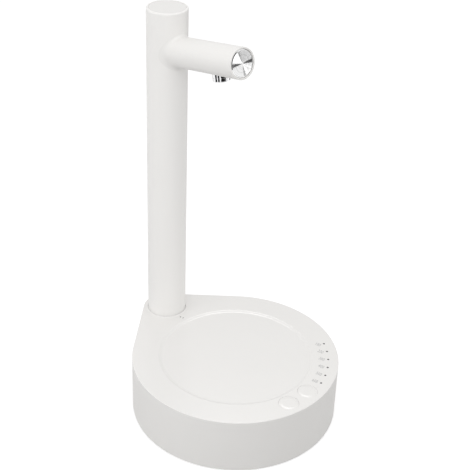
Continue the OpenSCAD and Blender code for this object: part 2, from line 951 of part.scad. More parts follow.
module nozzle_holder() {
    color("whitesmoke")
        difference() {
            arm_frame() {
                translate([0, 0, nozzle_at - holder_half])
                    cylinder(r = arm_bore_r - snug, h = 2 * holder_half);
                translate([0, 0, nozzle_at - holder_half + snug])
                    mirror([0, 0, 1])
                        barb();
            }
            arm_frame()
                translate([0, 0, nozzle_at - holder_half - barb_len - cut])
                    cylinder(d = channel_d, h = holder_half + barb_len + cut + 0.6 * channel_d);
            nozzle_frame() {
                cylinder(d = 0.9 * channel_d, h = nozzle_top + cut);
                translate([0, 0, nozzle_top])
                    cylinder(r = nozzle_d / 2 + snug, h = arm_d);
            }
        }
}

module nozzle_body() {
    mouth_top = nozzle_end - straightener_inset - straightener_len;
    color("silver")
        nozzle_frame()
            difference() {
                rotate_extrude()
                    difference() {
                        translate([0, nozzle_top])
                            square([nozzle_d / 2, nozzle_end - nozzle_top]);
                        translate([nozzle_d / 2 - nozzle_round, nozzle_end - nozzle_round])
                            difference() {
                                square(nozzle_round + cut);
                                circle(nozzle_round);
                            }
                    }
                translate([0, 0, mouth_top])
                    cylinder(d = mouth_d, h = nozzle_end - mouth_top + cut);
                translate([0, 0, nozzle_top - cut])
                    cylinder(d = mouth_d - 2, h = mouth_top - nozzle_top + 2 * cut);
            }
}

module flow_straightener() {
    hole_ring_r = mouth_d / 2 - snug - straightener_hole;
    color("whitesmoke")
        nozzle_frame()
            translate([0, 0, nozzle_end - straightener_inset - straightener_len + snug])
                difference() {
                    cylinder(d = mouth_d - 2 * snug, h = straightener_len);
                    for (p = concat([[0, 0]], [for (a = [0:60:300]) polar(a, hole_ring_r)]))
                        translate(lift(p, -cut))
                            cylinder(d = straightener_hole, h = straightener_len + 2 * cut);
                }
}

module end_plug() {
    color("whitesmoke")
        arm_frame()
            translate([0, 0, arm_reach - disc_recess - disc_t - end_plug_len])
                cylinder(r = arm_bore_r - snug, h = end_plug_len);
}

module end_disc() {
    color("silver")
        arm_frame()
            translate([0, 0, arm_reach - disc_recess - disc_t])
                cylinder(r = arm_bore_r - snug, h = disc_t);
}

// Controls

module left_button() {
    color("white")
        button(-1);
}

module right_button() {
    color("white")
        button(1);
}

// Button cap with a dished top and a rim that holds it under the shell
module button(side) {
    rim_z = ceiling_z - face_gap - button_rim_t;
    dish_r = (pow(button_r - 1, 2) + pow(button_dish, 2)) / (2 * button_dish);
    translate(button_place(side))
        difference() {
            union() {
                translate([0, 0, rim_z])
                    cylinder(r = button_r + button_rim, h = button_rim_t);
                translate([0, 0, rim_z])
                    cylinder(r = button_r, h = base_h - rim_z);
            }
            translate([0, 0, base_h - button_dish + dish_r])
                rotate([90, 0, 0])
                    sphere(r = dish_r);
        }
}

module left_plunger() {
    color("dimgray")
        plunger(-1);
}

module right_plunger() {
    color("dimgray")
        plunger(1);
}

// Plunger of a switch, which follows the button above it
module plunger(side) {
    top_z = ceiling_z - face_gap - button_rim_t;
    bottom_z = board_z + button_travel + 0.2;
    translate(lift(button_place(side), bottom_z))
        cylinder(d = plunger_d, h = top_z - bottom_z);
}

module switch_bodies() {
    color("black")
        for (side = [-1, 1])
            translate(lift(button_place(side), board_z))
                difference() {
                    translate([-switch_w / 2, -switch_w / 2, 0])
                        cube([switch_w, switch_w, switch_h]);
                    translate([0, 0, -cut])
                        cylinder(d = plunger_d + 2 * run_gap, h = switch_h + 2 * cut);
                }
}

module control_board() {
    color("darkgreen")
        difference() {
            translate([0, 0, board_z - board_t])
                sector(board_in_r, board_out_r, board_t, board_start, board_sweep);
            for (i = [0:2])
                translate(lift(boss_place(i), board_z - board_t - cut))
                    screw_hole(board_t + 2 * cut);
        }
}

module board_screws() {
    color("silver") {
        for (i = [0:2])
            translate(lift(boss_place(i), board_z - board_t))
                screw(board_t + screw_bite - 0.5);
        for (y = [-1, 1])
            translate(on_flat(-usb_board_x - 10, usb_along + y * usb_screw_y, usb_z + usb_board_t))
                mirror([0, 0, 1])
                    screw(usb_board_t + screw_bite - 0.5);
    }
}

module indicator_lamps() {
    color("lemonchiffon")
        for (i = [0:led_count - 1])
            rotate(led_angle(i))
                translate([led_ring_r - 1, -0.6, board_z])
                    cube([2, 1.2, 0.8]);
}

module light_guide() {
    strip_t = 1.4;
    strip_w = led_d + 1.4;
    color("gray") {
        translate([0, 0, ceiling_z - strip_t])
            sector(
                led_ring_r - strip_w / 2,
                led_ring_r + strip_w / 2,
                strip_t,
                led_angle(0) - led_step / 4,
                (led_count - 0.5) * led_step);
        for (i = [0:led_count - 1])
            translate(lift(polar(led_angle(i), led_ring_r), ceiling_z - strip_t / 2))
                cylinder(d = led_d, h = base_h - ceiling_z + strip_t / 2);
    }
}

// Places where the leads meet the control board: motor, battery and charging
lead_ends = [polar(-63, board_in_r + 7), polar(-103, board_in_r + 7), polar(-29, board_in_r + 7)];

module lead_sockets() {
    color("ivory")
        for (p = lead_ends)
            translate(lift(p, board_z - board_t - socket_size[2]))
                translate([-socket_size[0] / 2, -socket_size[1] / 2, 0])
                    cube(socket_size);
}

// Two leads side by side from a start to a socket under the control board
module lead_pair(start, start_dir, spread, socket, reach) {
    for (s = [-1, 1])
        wire(
            route(
                start + s * spread,
                start_dir,
                lift(lead_ends[socket], board_z - board_t - socket_size[2] - snug) + s * [lead_d, 0, 0],
                [0, 0, -1],
                2,
                reach,
                10),
            lead_d,
            8,
            [1, 0.2, 0.1]);
}

module motor_leads() {
    color("red")
        lead_pair([pump_x, pump_y - motor_l - snug, pump_z], [0, -1, 0], [6, 0, 0], 0, [10, 10]);
}

module battery_leads() {
    color("red")
        lead_pair(
            [-battery_x, -battery_len / 2 - snug, battery_z + cell_d / 2],
            [0, -1, 0],
            [lead_d, 0, 0],
            1,
            [10, 10]);
}

module charge_leads() {
    color("red")
        lead_pair(
            on_flat(-usb_board_x - usb_board_size[0] + 1.4, usb_along, usb_z + usb_board_t + snug),
            [0, 0, 1],
            [lead_d, 0, 0],
            2,
            [40, 8]);
}

// Power

// Rounded section of the charging socket, pushed along x, which points out of the wall
module usb_form(grow, inwards, outwards) {
    r = usb_h / 2 + grow;
    side = usb_w / 2 - usb_h / 2;
    translate([-inwards, 0, 0])
        rotate([90, 0, 90])
            linear_extrude(inwards + outwards) {
                translate([-side, -r])
                    square([2 * side, 2 * r]);
                for (y = [-side, side])
                    translate([y, 0])
                        circle(r);
            }
}

module charge_socket() {
    color("silver")
        flat_frame(usb_along, usb_z + usb_board_t + usb_h / 2) {
            difference() {
                usb_form(0, usb_l + usb_sink, -usb_sink);
                usb_form(-usb_wall, usb_l + usb_sink - 1, cut);
            }
            translate([-usb_sink - usb_l + 0.5, -usb_w / 2 + 1.4, -0.35])
                cube([usb_l - 1, usb_w - 2.8, 0.7]);
        }
}

module charge_board() {
    color("darkgreen")
        flat_frame(usb_along, usb_z)
            difference() {
                translate([-usb_board_x - usb_board_size[0], -usb_board_size[1] / 2, 0])
                    cube([usb_board_size[0], usb_board_size[1], usb_board_t]);
                for (y = [-usb_screw_y, usb_screw_y])
                    translate([-usb_board_x - 10, y, -cut])
                        screw_hole(usb_board_t + 2 * cut);
            }
}

module battery_cells() {
    color("steelblue")
        for (i = [0:cell_count - 1])
            translate([
                -battery_x + (i - (cell_count - 1) / 2) * cell_step,
                cell_l / 2,
                battery_z + snug + cell_d / 2])
                rotate([90, 0, 0])
                    cylinder(d = cell_d, h = cell_l);
}

module battery_tray() {
    color("black")
        translate([-battery_x, 0, floor_z])
            difference() {
                translate([-battery_w / 2, -battery_len / 2, 0])
                    cube([battery_w, battery_len, battery_side_h]);
                translate([-battery_w / 2 + battery_wall, -battery_len / 2 + battery_wall, battery_wall])
                    cube([battery_w - 2 * battery_wall, battery_len - 2 * battery_wall, battery_side_h]);
            }
}

module battery_strap() {
    leg_x = battery_w / 2 + snug;
    top_z = battery_wall + 2 * snug + cell_d;
    color("dimgray")
        translate([-battery_x, 0, floor_z])
            difference() {
                union() {
                    translate([-leg_x - strap_t, -strap_w / 2, bracket_h])
                        cube([2 * leg_x + 2 * strap_t, strap_w, top_z + strap_t - bracket_h]);
                    translate([-leg_x - strap_t - strap_foot, -strap_w / 2, bracket_h])
                        cube([2 * (leg_x + strap_t + strap_foot), strap_w, strap_t]);
                }
                translate([-leg_x, -strap_w / 2 - cut, bracket_h - cut])
                    cube([2 * leg_x, strap_w + 2 * cut, top_z - bracket_h + cut]);
                for (x = [-strap_screw_x, strap_screw_x])
                    translate([x, 0, bracket_h - cut])
                        screw_hole(strap_t + 2 * cut);
            }
}

// Screws of the strap and of the cradle's feet into the cover, and of the clamp into the cradle
module bracket_screws() {
    color("silver") {
        for (x = [-strap_screw_x, strap_screw_x])
            translate([-battery_x + x, 0, floor_z + bracket_h + strap_t])
                mirror([0, 0, 1])
                    screw(strap_t + screw_bite - 0.5);
        for (x = [-clamp_screw_x, clamp_screw_x])
            translate([pump_x + x, cradle_foot_y, floor_z + bracket_h + cradle_foot_t])
                mirror([0, 0, 1])
                    screw(cradle_foot_t + screw_bite - 0.5);
        pump_frame()
            for (x = [-clamp_screw_x, clamp_screw_x])
                translate([x, clamp_t + snug, cradle_mid])
                    rotate([90, 0, 0])
                        screw(clamp_t + screw_bite - 0.5);
    }
}

// Pump

module pump_outline() {
    translate([-pump_side, -pump_side])
        square([2 * pump_side, pump_side + pump_top]);
}

module gear_chamber() {
    circle(chamber_r);
    translate([0, gear_pitch])
        circle(chamber_r);
    for (x = [-port_x, port_x])
        translate([x, gear_pitch / 2])
            circle(d = channel_d + 1);
    translate([-port_x, gear_pitch / 2 - channel_d / 2])
        square([2 * port_x, channel_d]);
}

module pump_screw_places() {
    x = pump_side - pump_screw_in;
    for (side = [-x, x], y = [-x, pump_top - pump_screw_in])
        translate([side, y])
            children();
}

module pump_body() {
    color("gainsboro")
        pump_frame()
            difference() {
                union() {
                    linear_extrude(chamber_end)
                        pump_outline();
                    translate([0, 0, -pump_collar])
                        cylinder(r = motor_r + snug + pump_collar_t, h = pump_collar + snug);
                }
                translate([0, 0, -pump_collar - cut])
                    cylinder(r = motor_r + snug, h = pump_collar + cut);
                translate([0, 0, pump_wall])
                    linear_extrude(gear_w + 2 * chamber_gap + cut)
                        gear_chamber();
                translate([0, 0, -cut])
                    cylinder(r = shaft_d / 2 + 0.3, h = pump_wall + 2 * cut);
                translate([0, 0, 1])
                    cylinder(d = bush_d + 2 * snug, h = pump_wall);
                translate([0, gear_pitch, 1])
                    cylinder(d = pin_d + 2 * snug, h = pump_wall);
                translate([0, 0, chamber_end - screw_bite])
                    pump_screw_places()
                        screw_hole(screw_bite + cut);
            }
}

module pump_gasket() {
    color("black")
        pump_frame()
            translate([0, 0, chamber_end])
                difference() {
                    linear_extrude(gasket_t)
                        pump_outline();
                    translate([0, 0, -cut])
                        linear_extrude(gasket_t + 2 * cut)
                            gear_chamber();
                    translate([0, 0, -cut])
                        pump_screw_places()
                            screw_hole(gasket_t + 2 * cut);
                }
}

module pump_end_plate() {
    color("gainsboro")
        pump_frame()
            translate([0, 0, plate_z])
                difference() {
                    union() {
                        linear_extrude(plate_t)
                            pump_outline();
                        for (x = [-port_x, port_x])
                            translate([x, gear_pitch / 2, plate_t - snug])
                                barb();
                    }
                    for (x = [-port_x, port_x])
                        translate([x, gear_pitch / 2, -cut])
                            cylinder(d = channel_d, h = plate_t + barb_len + 2 * cut);
                    translate([0, gear_pitch, -cut])
                        cylinder(d = pin_d + 2 * snug, h = plate_t / 2 + cut);
                    translate([0, 0, -cut])
                        pump_screw_places()
                            screw_hole(plate_t + 2 * cut);
                }
}

module pump_screws() {
    color("silver")
        pump_frame()
            translate([0, 0, plate_end])
                pump_screw_places()
                    mirror([0, 0, 1])
                        screw(plate_t + gasket_t + screw_bite - 0.5);
}

module motor_can() {
    color("lightgray")
        pump_frame()
            translate([0, 0, -motor_l])
                difference() {
                    cylinder(r = motor_r, h = motor_l);
                    translate([0, 0, -cut])
                        cylinder(r = motor_r - can_wall, h = motor_l - can_wall + cut);
                    cylinder(d = bush_d + 2 * snug, h = motor_l + cut);
                }
}

module motor_end_cap() {
    color("black")
        pump_frame()
            translate([0, 0, -motor_l])
                pipe(motor_r - can_wall - snug, bush_d / 2 + snug, bush_len);
}

module motor_magnets() {
    outer_r = motor_r - can_wall - snug;
    color("dimgray")
        pump_frame()
            for (start = [-60, 120])
                translate([0, 0, -0.8 * motor_l])
                    sector(outer_r - 1.8, outer_r, 0.65 * motor_l, start, 120);
}

module shaft_bushes() {
    color("goldenrod")
        pump_frame()
            for (z = [-motor_l, -bush_len])
                translate([0, 0, z])
                    pipe(bush_d / 2, shaft_d / 2 + shaft_gap, bush_len);
}

module shaft_seal() {
    color("black")
        pump_frame()
            translate([0, 0, 1])
                pipe(bush_d / 2, shaft_d / 2 + shaft_gap, pump_wall - 1);
}

module motor_shaft() {
    color("silver")
        pump_frame()
            translate([0, 0, -motor_l + 0.5])
                cylinder(d = shaft_d, h = motor_l - 0.5 + pump_wall + chamber_gap + gear_w);
}

// Wound core of the motor with its commutator
module armature() {
    core_r = motor_r - can_wall - snug - 1.8 - 0.4;
    core_z = -0.72 * motor_l;
    core_len = 0.5 * motor_l;
    winding_len = 2.4;
    commutator_z = -motor_l + bush_len + 0.5;
    color("saddlebrown")
        pump_frame()
            difference() {
                union() {
                    translate([0, 0, core_z])
                        difference() {
                            cylinder(r = core_r, h = core_len);
                            for (a = [0, 120, 240])
                                rotate(a)
                                    translate([0.6 * core_r, -0.7, -cut])
                                        cube([core_r, 1.4, core_len + 2 * cut]);
                        }
                    translate([0, 0, core_z - winding_len])
                        cylinder(r = 0.8 * core_r, h = core_len + 2 * winding_len);
                    translate([0, 0, commutator_z])
                        cylinder(r = 0.35 * core_r, h = core_z - commutator_z);
                }
                translate([0, 0, -motor_l])
                    cylinder(r = shaft_d / 2 + snug / 2, h = motor_l);
            }
}

function involute(a) = tan(a) * 180 / PI - a;

// Half the angle of a tooth at radius r
function half_tooth(r) =
    90 / gear_teeth - backlash / 4 / gear_r * 180 / PI
    + involute(gear_pressure) - involute(acos(gear_r * cos(gear_pressure) / r));

module gear(bore_r) {
    base_circle = gear_r * cos(gear_pressure);
    flank = [for (i = [0:5]) base_circle + (gear_tip_r - base_circle) * i / 5];
    foot = half_tooth(base_circle);
    difference() {
        linear_extrude(gear_w)
            polygon([
                for (i = [0:gear_teeth - 1])
                    let (a = 90 + 360 * i / gear_teeth)
                    each concat(
                        [polar(a - foot, gear_root_r)],
                        [for (r = flank) polar(a - half_tooth(r), r)],
                        [for (k = [5:-1:0]) polar(a + half_tooth(flank[k]), flank[k])],
                        [polar(a + foot, gear_root_r)])]);
        translate([0, 0, -cut])
            cylinder(r = bore_r, h = gear_w + 2 * cut);
    }
}

module drive_gear() {
    color("ivory")
        pump_frame()
            translate([0, 0, pump_wall + chamber_gap])
                gear(shaft_d / 2 + snug / 2);
}

// The idler has a gap between teeth where the drive gear has a tooth
module idler_gear() {
    color("ivory")
        pump_frame()
            translate([0, gear_pitch, pump_wall + chamber_gap])
                rotate(180 + 180 / gear_teeth)
                    gear(pin_d / 2 + shaft_gap);
}

module idler_pin() {
    color("silver")
        pump_frame()
            translate([0, gear_pitch, 1])
                cylinder(d = pin_d, h = plate_z + plate_t / 2 - 1);
}

module pump_damper() {
    color("black")
        pump_frame()
            translate([0, 0, cradle_mid - cradle_len / 2 - 1])
                pipe(damper_r, motor_r + snug, cradle_len + 2);
}

module pump_cradle() {
    half = clamp_screw_x + clamp_ear / 2;
    color("gainsboro") {
        pump_frame()
            translate([0, 0, cradle_mid - cradle_len / 2])
                difference() {
                    translate([-half, -pump_h, 0])
                        cube([2 * half, pump_h, cradle_len]);
                    translate([0, 0, -cut])
                        cylinder(r = cradle_r, h = cradle_len + 2 * cut);
                    for (x = [-clamp_screw_x, clamp_screw_x])
                        translate([x, cut, cradle_len / 2])
                            rotate([90, 0, 0])
                                screw_hole(screw_bite + cut);
                }
        for (x = [-clamp_screw_x, clamp_screw_x])
            translate([pump_x + x, cradle_foot_y, floor_z + bracket_h])
                difference() {
                    translate([-clamp_ear / 2, -clamp_ear / 2 - snug, 0])
                        cube([clamp_ear, clamp_ear + snug, cradle_foot_t]);
                    translate([0, 0, -cut])
                        screw_hole(cradle_foot_t + 2 * cut);
                }
    }
}

module pump_clamp() {
    half = clamp_screw_x + clamp_ear / 2;
    color("gainsboro")
        pump_frame()
            translate([0, 0, cradle_mid - cradle_len / 2])
                difference() {
                    union() {
                        cylinder(r = clamp_r, h = cradle_len);
                        translate([-half, 0, 0])
                            cube([2 * half, clamp_t + snug, cradle_len]);
                    }
                    translate([0, 0, -cut])
                        cylinder(r = cradle_r, h = cradle_len + 2 * cut);
                    translate([-half - cut, -clamp_r - cut + snug, -cut])
                        cube([2 * half + 2 * cut, clamp_r + cut, cradle_len + 2 * cut]);
                    for (x = [-clamp_screw_x, clamp_screw_x])
                        translate([x, -cut, cradle_len / 2])
                            rotate([-90, 0, 0])
                                screw_hole(clamp_t + 2 * cut);
                }
}

// Water path in the base

// The inlet's axis is x, pointing out of the wall
module inlet_axis() {
    flat_frame(inlet_along, floor_z + inlet_h)
        rotate([0, 90, 0])
            children();
}

inlet_end = inlet_depth + 2;

module inlet_fitting() {
    color("whitesmoke")
        inlet_axis()
            difference() {
                union() {
                    cylinder(d = inlet_collar_d, h = inlet_collar_t);
                    translate([0, 0, -inlet_end])
                        cylinder(d = inlet_d, h = inlet_end + snug);
                    translate([0, 0, -inlet_end + snug])
                        mirror([0, 0, 1])
                            barb();
                }
                translate([0, 0, -inlet_depth])
                    cylinder(r = supply_d / 2 + supply_gap, h = inlet_depth + inlet_collar_t + cut);
                translate([0, 0, -inlet_end - barb_len - cut])
                    cylinder(d = channel_d, h = inlet_end + barb_len);
            }
}

module inlet_seal() {
    color("black")
        inlet_axis()
            translate([0, 0, -wall - inlet_seal_t - snug])
                pipe(inlet_collar_d / 2, inlet_d / 2 + snug, inlet_seal_t);
}

module inlet_nut() {
    color("silver")
        inlet_axis()
            translate([0, 0, -wall - inlet_seal_t - inlet_nut_t - 2 * snug])
                difference() {
                    cylinder(d = inlet_collar_d + 2, h = inlet_nut_t, $fn = 6);
                    translate([0, 0, -cut])
                        cylinder(d = inlet_d + 2 * snug, h = inlet_nut_t + 2 * cut);
                }
}

function pump_port(side) =
    [pump_x + side * port_x, pump_y + plate_end + 0.2, pump_z + gear_pitch / 2];

module suction_hose() {
    n = lift(-flat_n(1), 0);
    color("lightgray")
        hose(
            route(
                on_flat(-inlet_end - 0.2, inlet_along, floor_z + inlet_h),
                n,
                pump_port(1),
                [0, 1, 0],
                barb_len + 1,
                [14, 14],
                12),
            hose_d,
            hose_bore,
            12,
            [0, 0, 1]);
}

module outlet_hose() {
    color("lightgray")
        hose(
            route(
                [0, socket_port_y - 0.2, socket_port_z],
                [0, -1, 0],
                pump_port(-1),
                [0, 1, 0],
                barb_len + 1,
                [14, 14],
                12),
            hose_d,
            hose_bore,
            12,
            [0, 0, 1]);
}

base_shell();
bottom_cover();
foot_ring();
cover_screws();
column_socket();
socket_screws();
light_guide();
control_board();
indicator_lamps();
switch_bodies();
lead_sockets();
board_screws();
charge_socket();
charge_board();
battery_cells();
battery_tray();
battery_strap();
bracket_screws();
pump_body();
pump_gasket();
pump_end_plate();
pump_screws();
motor_can();
motor_end_cap();
motor_magnets();
shaft_bushes();
shaft_seal();
idler_pin();
pump_cradle();
pump_damper();
pump_clamp();
inlet_fitting();
inlet_nut();
inlet_seal();
suction_hose();
outlet_hose();
motor_leads();
battery_leads();
charge_leads();
column_tube();
column_cap();
column_foot();
foot_seal();
riser_hose();
spout_elbow();
arm_tube();
arm_hose();
nozzle_holder();
nozzle_body();
flow_straightener();
end_plug();
end_disc();
left_button();
left_plunger();
right_button();
right_plunger();
motor_shaft();
armature();
drive_gear();
idler_gear();
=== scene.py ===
import json
import math

import bmesh
import bpy
from mathutils import Matrix, Quaternion, Vector


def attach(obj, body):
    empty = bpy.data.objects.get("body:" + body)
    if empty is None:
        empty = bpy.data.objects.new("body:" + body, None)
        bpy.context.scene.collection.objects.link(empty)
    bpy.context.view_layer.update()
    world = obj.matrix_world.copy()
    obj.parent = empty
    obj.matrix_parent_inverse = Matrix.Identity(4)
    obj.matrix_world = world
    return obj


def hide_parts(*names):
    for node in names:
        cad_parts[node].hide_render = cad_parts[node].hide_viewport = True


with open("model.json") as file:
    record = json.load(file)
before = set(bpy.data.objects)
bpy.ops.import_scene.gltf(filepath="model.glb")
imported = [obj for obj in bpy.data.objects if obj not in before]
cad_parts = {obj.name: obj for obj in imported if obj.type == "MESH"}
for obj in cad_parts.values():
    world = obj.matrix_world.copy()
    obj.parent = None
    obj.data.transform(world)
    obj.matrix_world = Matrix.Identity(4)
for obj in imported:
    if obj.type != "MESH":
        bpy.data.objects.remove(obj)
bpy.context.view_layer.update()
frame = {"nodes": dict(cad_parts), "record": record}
nodes = frame["nodes"]
scene = bpy.context.scene

# Sizes in millimetres, as the solids have them
MM = 0.001
BASE_R, BASE_H, RIM, WALL, CEILING, FLOOR = 91, 52.5, 0.7, 2.5, 49, 4
LOBE_R, FLAT_R, COLUMN_Y = 21.5, 21.4, 95.5
FLAT_ANGLE = math.degrees(math.acos((BASE_R - LOBE_R) / COLUMN_Y))
TRAY_R, TRAY_DEPTH = 68, 1
COLUMN_R, COLUMN_BORE, COLUMN_END, COLUMN_TOP, COLUMN_GAP = 17.2, 15.4, 48.5, 346, 0.3
ARM_R, ARM_BORE, ARM_Z, ARM_TILT, ARM_IN, ARM_END = 12.7, 11.3, 309.5, 11.3, 11.03, 92
NOZZLE_AT, NOZZLE_R, NOZZLE_TOP, NOZZLE_END = 65, 7, 3, 17.5
MOUTH_R, GRID_IN, GRID_LEN = 5.2, 1, 4
KEY_R, KEY_GAP, KEY_RIM = 8.3, 0.35, 9.5
KEY_RING, KEY_TURN, KEY_MIDDLE = 77.75, 8.432, -88.8
LAMP_RING, LAMP_R, LAMP_MIDDLE, LAMP_STEP = 82, 0.9, -48.6, 8
COVER_Z, COVER_T, COVER_IN = 1.5, 2.5, 2.8
RING_IN, RING_OUT, RING_SINK = 66, 73, 0.8
SCREW_R, HEAD_R, HEAD_H = 1.3, 2.5, 1.6
INLET_ALONG, INLET_Z, INLET_BORE, INLET_BODY, INLET_TAIL = 50, 20, 4.1, 6.5, 2.7
PORT_ALONG, PORT_Z, PORT_W, PORT_H, PORT_L, PORT_SINK = 22, 14.85, 8.9, 3.3, 8, 0.6
SOCKET_Z = CEILING - 2.8
POST_RING, POST_R, BOSS_RING, BOSS_R, EAR_RING, EAR_R = 80, 4, 67, 3.2, 22, 4.2
SKIRT_R, SKIRT_WALL, COLLAR = COLUMN_R + COLUMN_GAP, 1.6, 1.4
BATTERY_X, BATTERY_EAR, PUMP_X, PUMP_EAR, PUMP_Y = -29, 25.7, 25, 20.9, -12.48

# Sizes in millimetres that the solids lack or have otherwise
EDGE_ROUND, FOOT_ROUND, ROOT_FILLET, TRAY_SLOPE = 0.55, 0.6, 3.0, 3.6
KEY_FLAT, KEY_FALL = 5.4, 0.2
PRINT_Z, PRINT_T = BASE_H + 0.012, 0.02
NUMBER_RING, NUMBER_TURN, NUMBER_SIZE, NUMBER_WIDE, NUMBER_TALL = 76.2, -73.5, 3.7, 0.9, 1.5


def polar(angle, radius):
    a = math.radians(angle)
    return (radius * math.cos(a), radius * math.sin(a))


def shift(x=0.0, y=0.0, z=0.0):
    """A move, in millimetres."""
    return Matrix.Translation((x * MM, y * MM, z * MM))


def spin(angle, axis):
    """A turn about an axis, in degrees."""
    return Matrix.Rotation(math.radians(angle), 4, axis)


POSTS = [polar(a, POST_RING) for a in (-6, 32, 117, 174, -122)] + [polar(-88, 56)]
KEYS = {side: polar(KEY_MIDDLE + side * KEY_TURN, KEY_RING) for side in (-1, 1)}
LAMPS = [LAMP_MIDDLE + (i - 2.5) * LAMP_STEP for i in range(6)]

# Frames of the column, the arm, the nozzle and the base's right flat wall
UPRIGHT = shift(y=COLUMN_Y)
ALONG_ARM = shift(0, COLUMN_Y, ARM_Z) @ spin(90 - ARM_TILT, "X")
ALONG_NOZZLE = ALONG_ARM @ shift(z=NOZZLE_AT) @ spin(90, "X")
OUT_OF_FLAT = spin(90, "Y")


def on_flat(along, z):
    """Frame on the right flat wall of the base: x out of the wall, y towards the lobe."""
    return shift(0, COLUMN_Y, z) @ spin(90 - FLAT_ANGLE, "Z") @ shift(FLAT_R, -along)


# Camera, at the photograph's viewing angle
def camera(azimuth, elevation, distance, target, roll, lens):
    a, e = math.radians(azimuth), math.radians(elevation)
    back = Vector((math.sin(a) * math.cos(e), -math.cos(a) * math.cos(e), math.sin(e)))
    bpy.ops.object.camera_add(location=Vector(target) + back * distance)
    cam = bpy.context.object
    cam.rotation_mode = "QUATERNION"
    cam.rotation_quaternion = (-back).to_track_quat("-Z", "Y") @ Quaternion((0, 0, 1), math.radians(roll))
    cam.data.lens = lens
    cam.data.sensor_width = 36
    scene.camera = cam


camera(-43.4363, 31.7138, 0.9468, (0.000755, 0.007307, 0.17314), 2.2085, 87.115)


# Modelling helpers
def only(*pieces):
    bpy.ops.object.select_all(action="DESELECT")
    for piece in pieces:
        piece.select_set(True)
    if pieces:
        bpy.context.view_layer.objects.active = pieces[0]


def made(name):
    piece = bpy.context.object
    piece.name = name
    piece.data.name = name
    bpy.ops.object.transform_apply(location=True, rotation=True, scale=True)
    return piece


def pick(piece, kind, test):
    """In edit mode, selects just the points, edges or faces that pass the test."""
    bpy.ops.mesh.select_mode(type=kind)
    bpy.ops.mesh.select_all(action="DESELECT")
    mesh = bmesh.from_edit_mesh(piece.data)
    found = {"VERT": mesh.verts, "EDGE": mesh.edges, "FACE": mesh.faces}[kind]
    for item in found:
        item.select_set(test(item))
    mesh.select_flush_mode()
    bmesh.update_edit_mesh(piece.data)


def close_mesh():
    """In edit mode, merges doubles, fills open ends and turns the faces outwards."""
    bpy.ops.mesh.select_mode(type="VERT")
    bpy.ops.mesh.select_all(action="SELECT")
    bpy.ops.mesh.remove_doubles(threshold=1e-6)
    bpy.ops.mesh.fill_holes(sides=0)
    bpy.ops.mesh.select_all(action="SELECT")
    bpy.ops.mesh.normals_make_consistent(inside=False)


def turned(name, profile, sides=96):
    """A turned piece: a circle drawn out along a profile of radius and height, in millimetres."""
    only()
    r, z = profile[0]
    bpy.ops.mesh.primitive_circle_add(vertices=sides, radius=r * MM, location=(0, 0, z * MM))
    piece = made(name)
    bpy.ops.object.mode_set(mode="EDIT")
    bpy.ops.mesh.select_mode(type="VERT")
    bpy.ops.mesh.select_all(action="SELECT")
    for r_next, z_next in profile[1:]:
        bpy.ops.mesh.extrude_region_move(TRANSFORM_OT_translate={"value": (0, 0, (z_next - z) * MM)})
        if r_next != r:
            k = r_next / r
            bpy.ops.transform.resize(value=(k, k, 1), center_override=(0, 0, z_next * MM))
        r, z = r_next, z_next
    close_mesh()
    bpy.ops.object.mode_set(mode="OBJECT")
    return piece


def arc(r, z, size, start, stop, steps):
    """Points of a rounding in a profile."""
    angles = [math.radians(start + i * (stop - start) / steps) for i in range(steps + 1)]
    return [(r + size * math.cos(a), z + size * math.sin(a)) for a in angles]


def tube(name, inner, outer, low, high, sides=96):
    return turned(name, [(inner, low), (outer, low), (outer, high), (inner, high), (inner, low)], sides)


def ease(t):
    """A soft step from nought to one."""
    return t * t * (3 - 2 * t)


def rod(name, radius, low, high, sides=48, at=(0, 0)):
    only()
    bpy.ops.mesh.primitive_cylinder_add(
        vertices=sides, radius=radius * MM, depth=(high - low) * MM,
        location=(at[0] * MM, at[1] * MM, (low + high) / 2 * MM))
    return made(name)


def block(name, low, high):
    only()
    bpy.ops.mesh.primitive_cube_add(size=1, location=[(a + b) / 2 * MM for a, b in zip(low, high)],
                                    scale=[(b - a) * MM for a, b in zip(low, high)])
    return made(name)


def join(name, pieces):
    only(*pieces)
    if len(pieces) > 1:
        bpy.ops.object.join()
    return made(name)


def wrap(name, pieces):
    """One convex block around the given pieces."""
    piece = join(name, pieces)
    bpy.ops.object.mode_set(mode="EDIT")
    bpy.ops.mesh.select_all(action="SELECT")
    bpy.ops.mesh.convex_hull()
    bpy.ops.mesh.select_all(action="SELECT")
    bpy.ops.mesh.dissolve_limited(angle_limit=math.radians(0.3))
    bpy.ops.mesh.normals_make_consistent(inside=False)
    bpy.ops.object.mode_set(mode="OBJECT")
    return piece


def place(piece, matrix):
    only(piece)
    piece.matrix_world = matrix
    bpy.ops.object.transform_apply(location=True, rotation=True, scale=True)
    return piece


def apply_last(piece):
    only(piece)
    bpy.ops.object.modifier_apply(modifier=piece.modifiers[-1].name)


def carve(piece, tool, operation="DIFFERENCE"):
    only(piece)
    bpy.ops.object.modifier_add(type="BOOLEAN")
    cut = piece.modifiers[-1]
    cut.operation, cut.solver, cut.object, cut.use_self = operation, "EXACT", tool, True
    apply_last(piece)
    bpy.data.objects.remove(tool)
    return piece


def soften(piece, angle=35):
    """Smooth shading that keeps flat faces flat and hard edges hard."""
    only(piece)
    bpy.ops.object.shade_smooth_by_angle(angle=math.radians(angle))
    bpy.ops.object.modifier_add(type="WEIGHTED_NORMAL")
    piece.modifiers[-1].keep_sharp = True
    apply_last(piece)
    return piece


def bevel_edges(piece, test, width, steps):
    only(piece)
    bpy.ops.object.mode_set(mode="EDIT")
    pick(piece, "EDGE", test)
    bpy.ops.mesh.bevel(offset=width * MM, segments=steps, profile=0.5, affect="EDGES", clamp_overlap=True)
    bpy.ops.object.mode_set(mode="OBJECT")


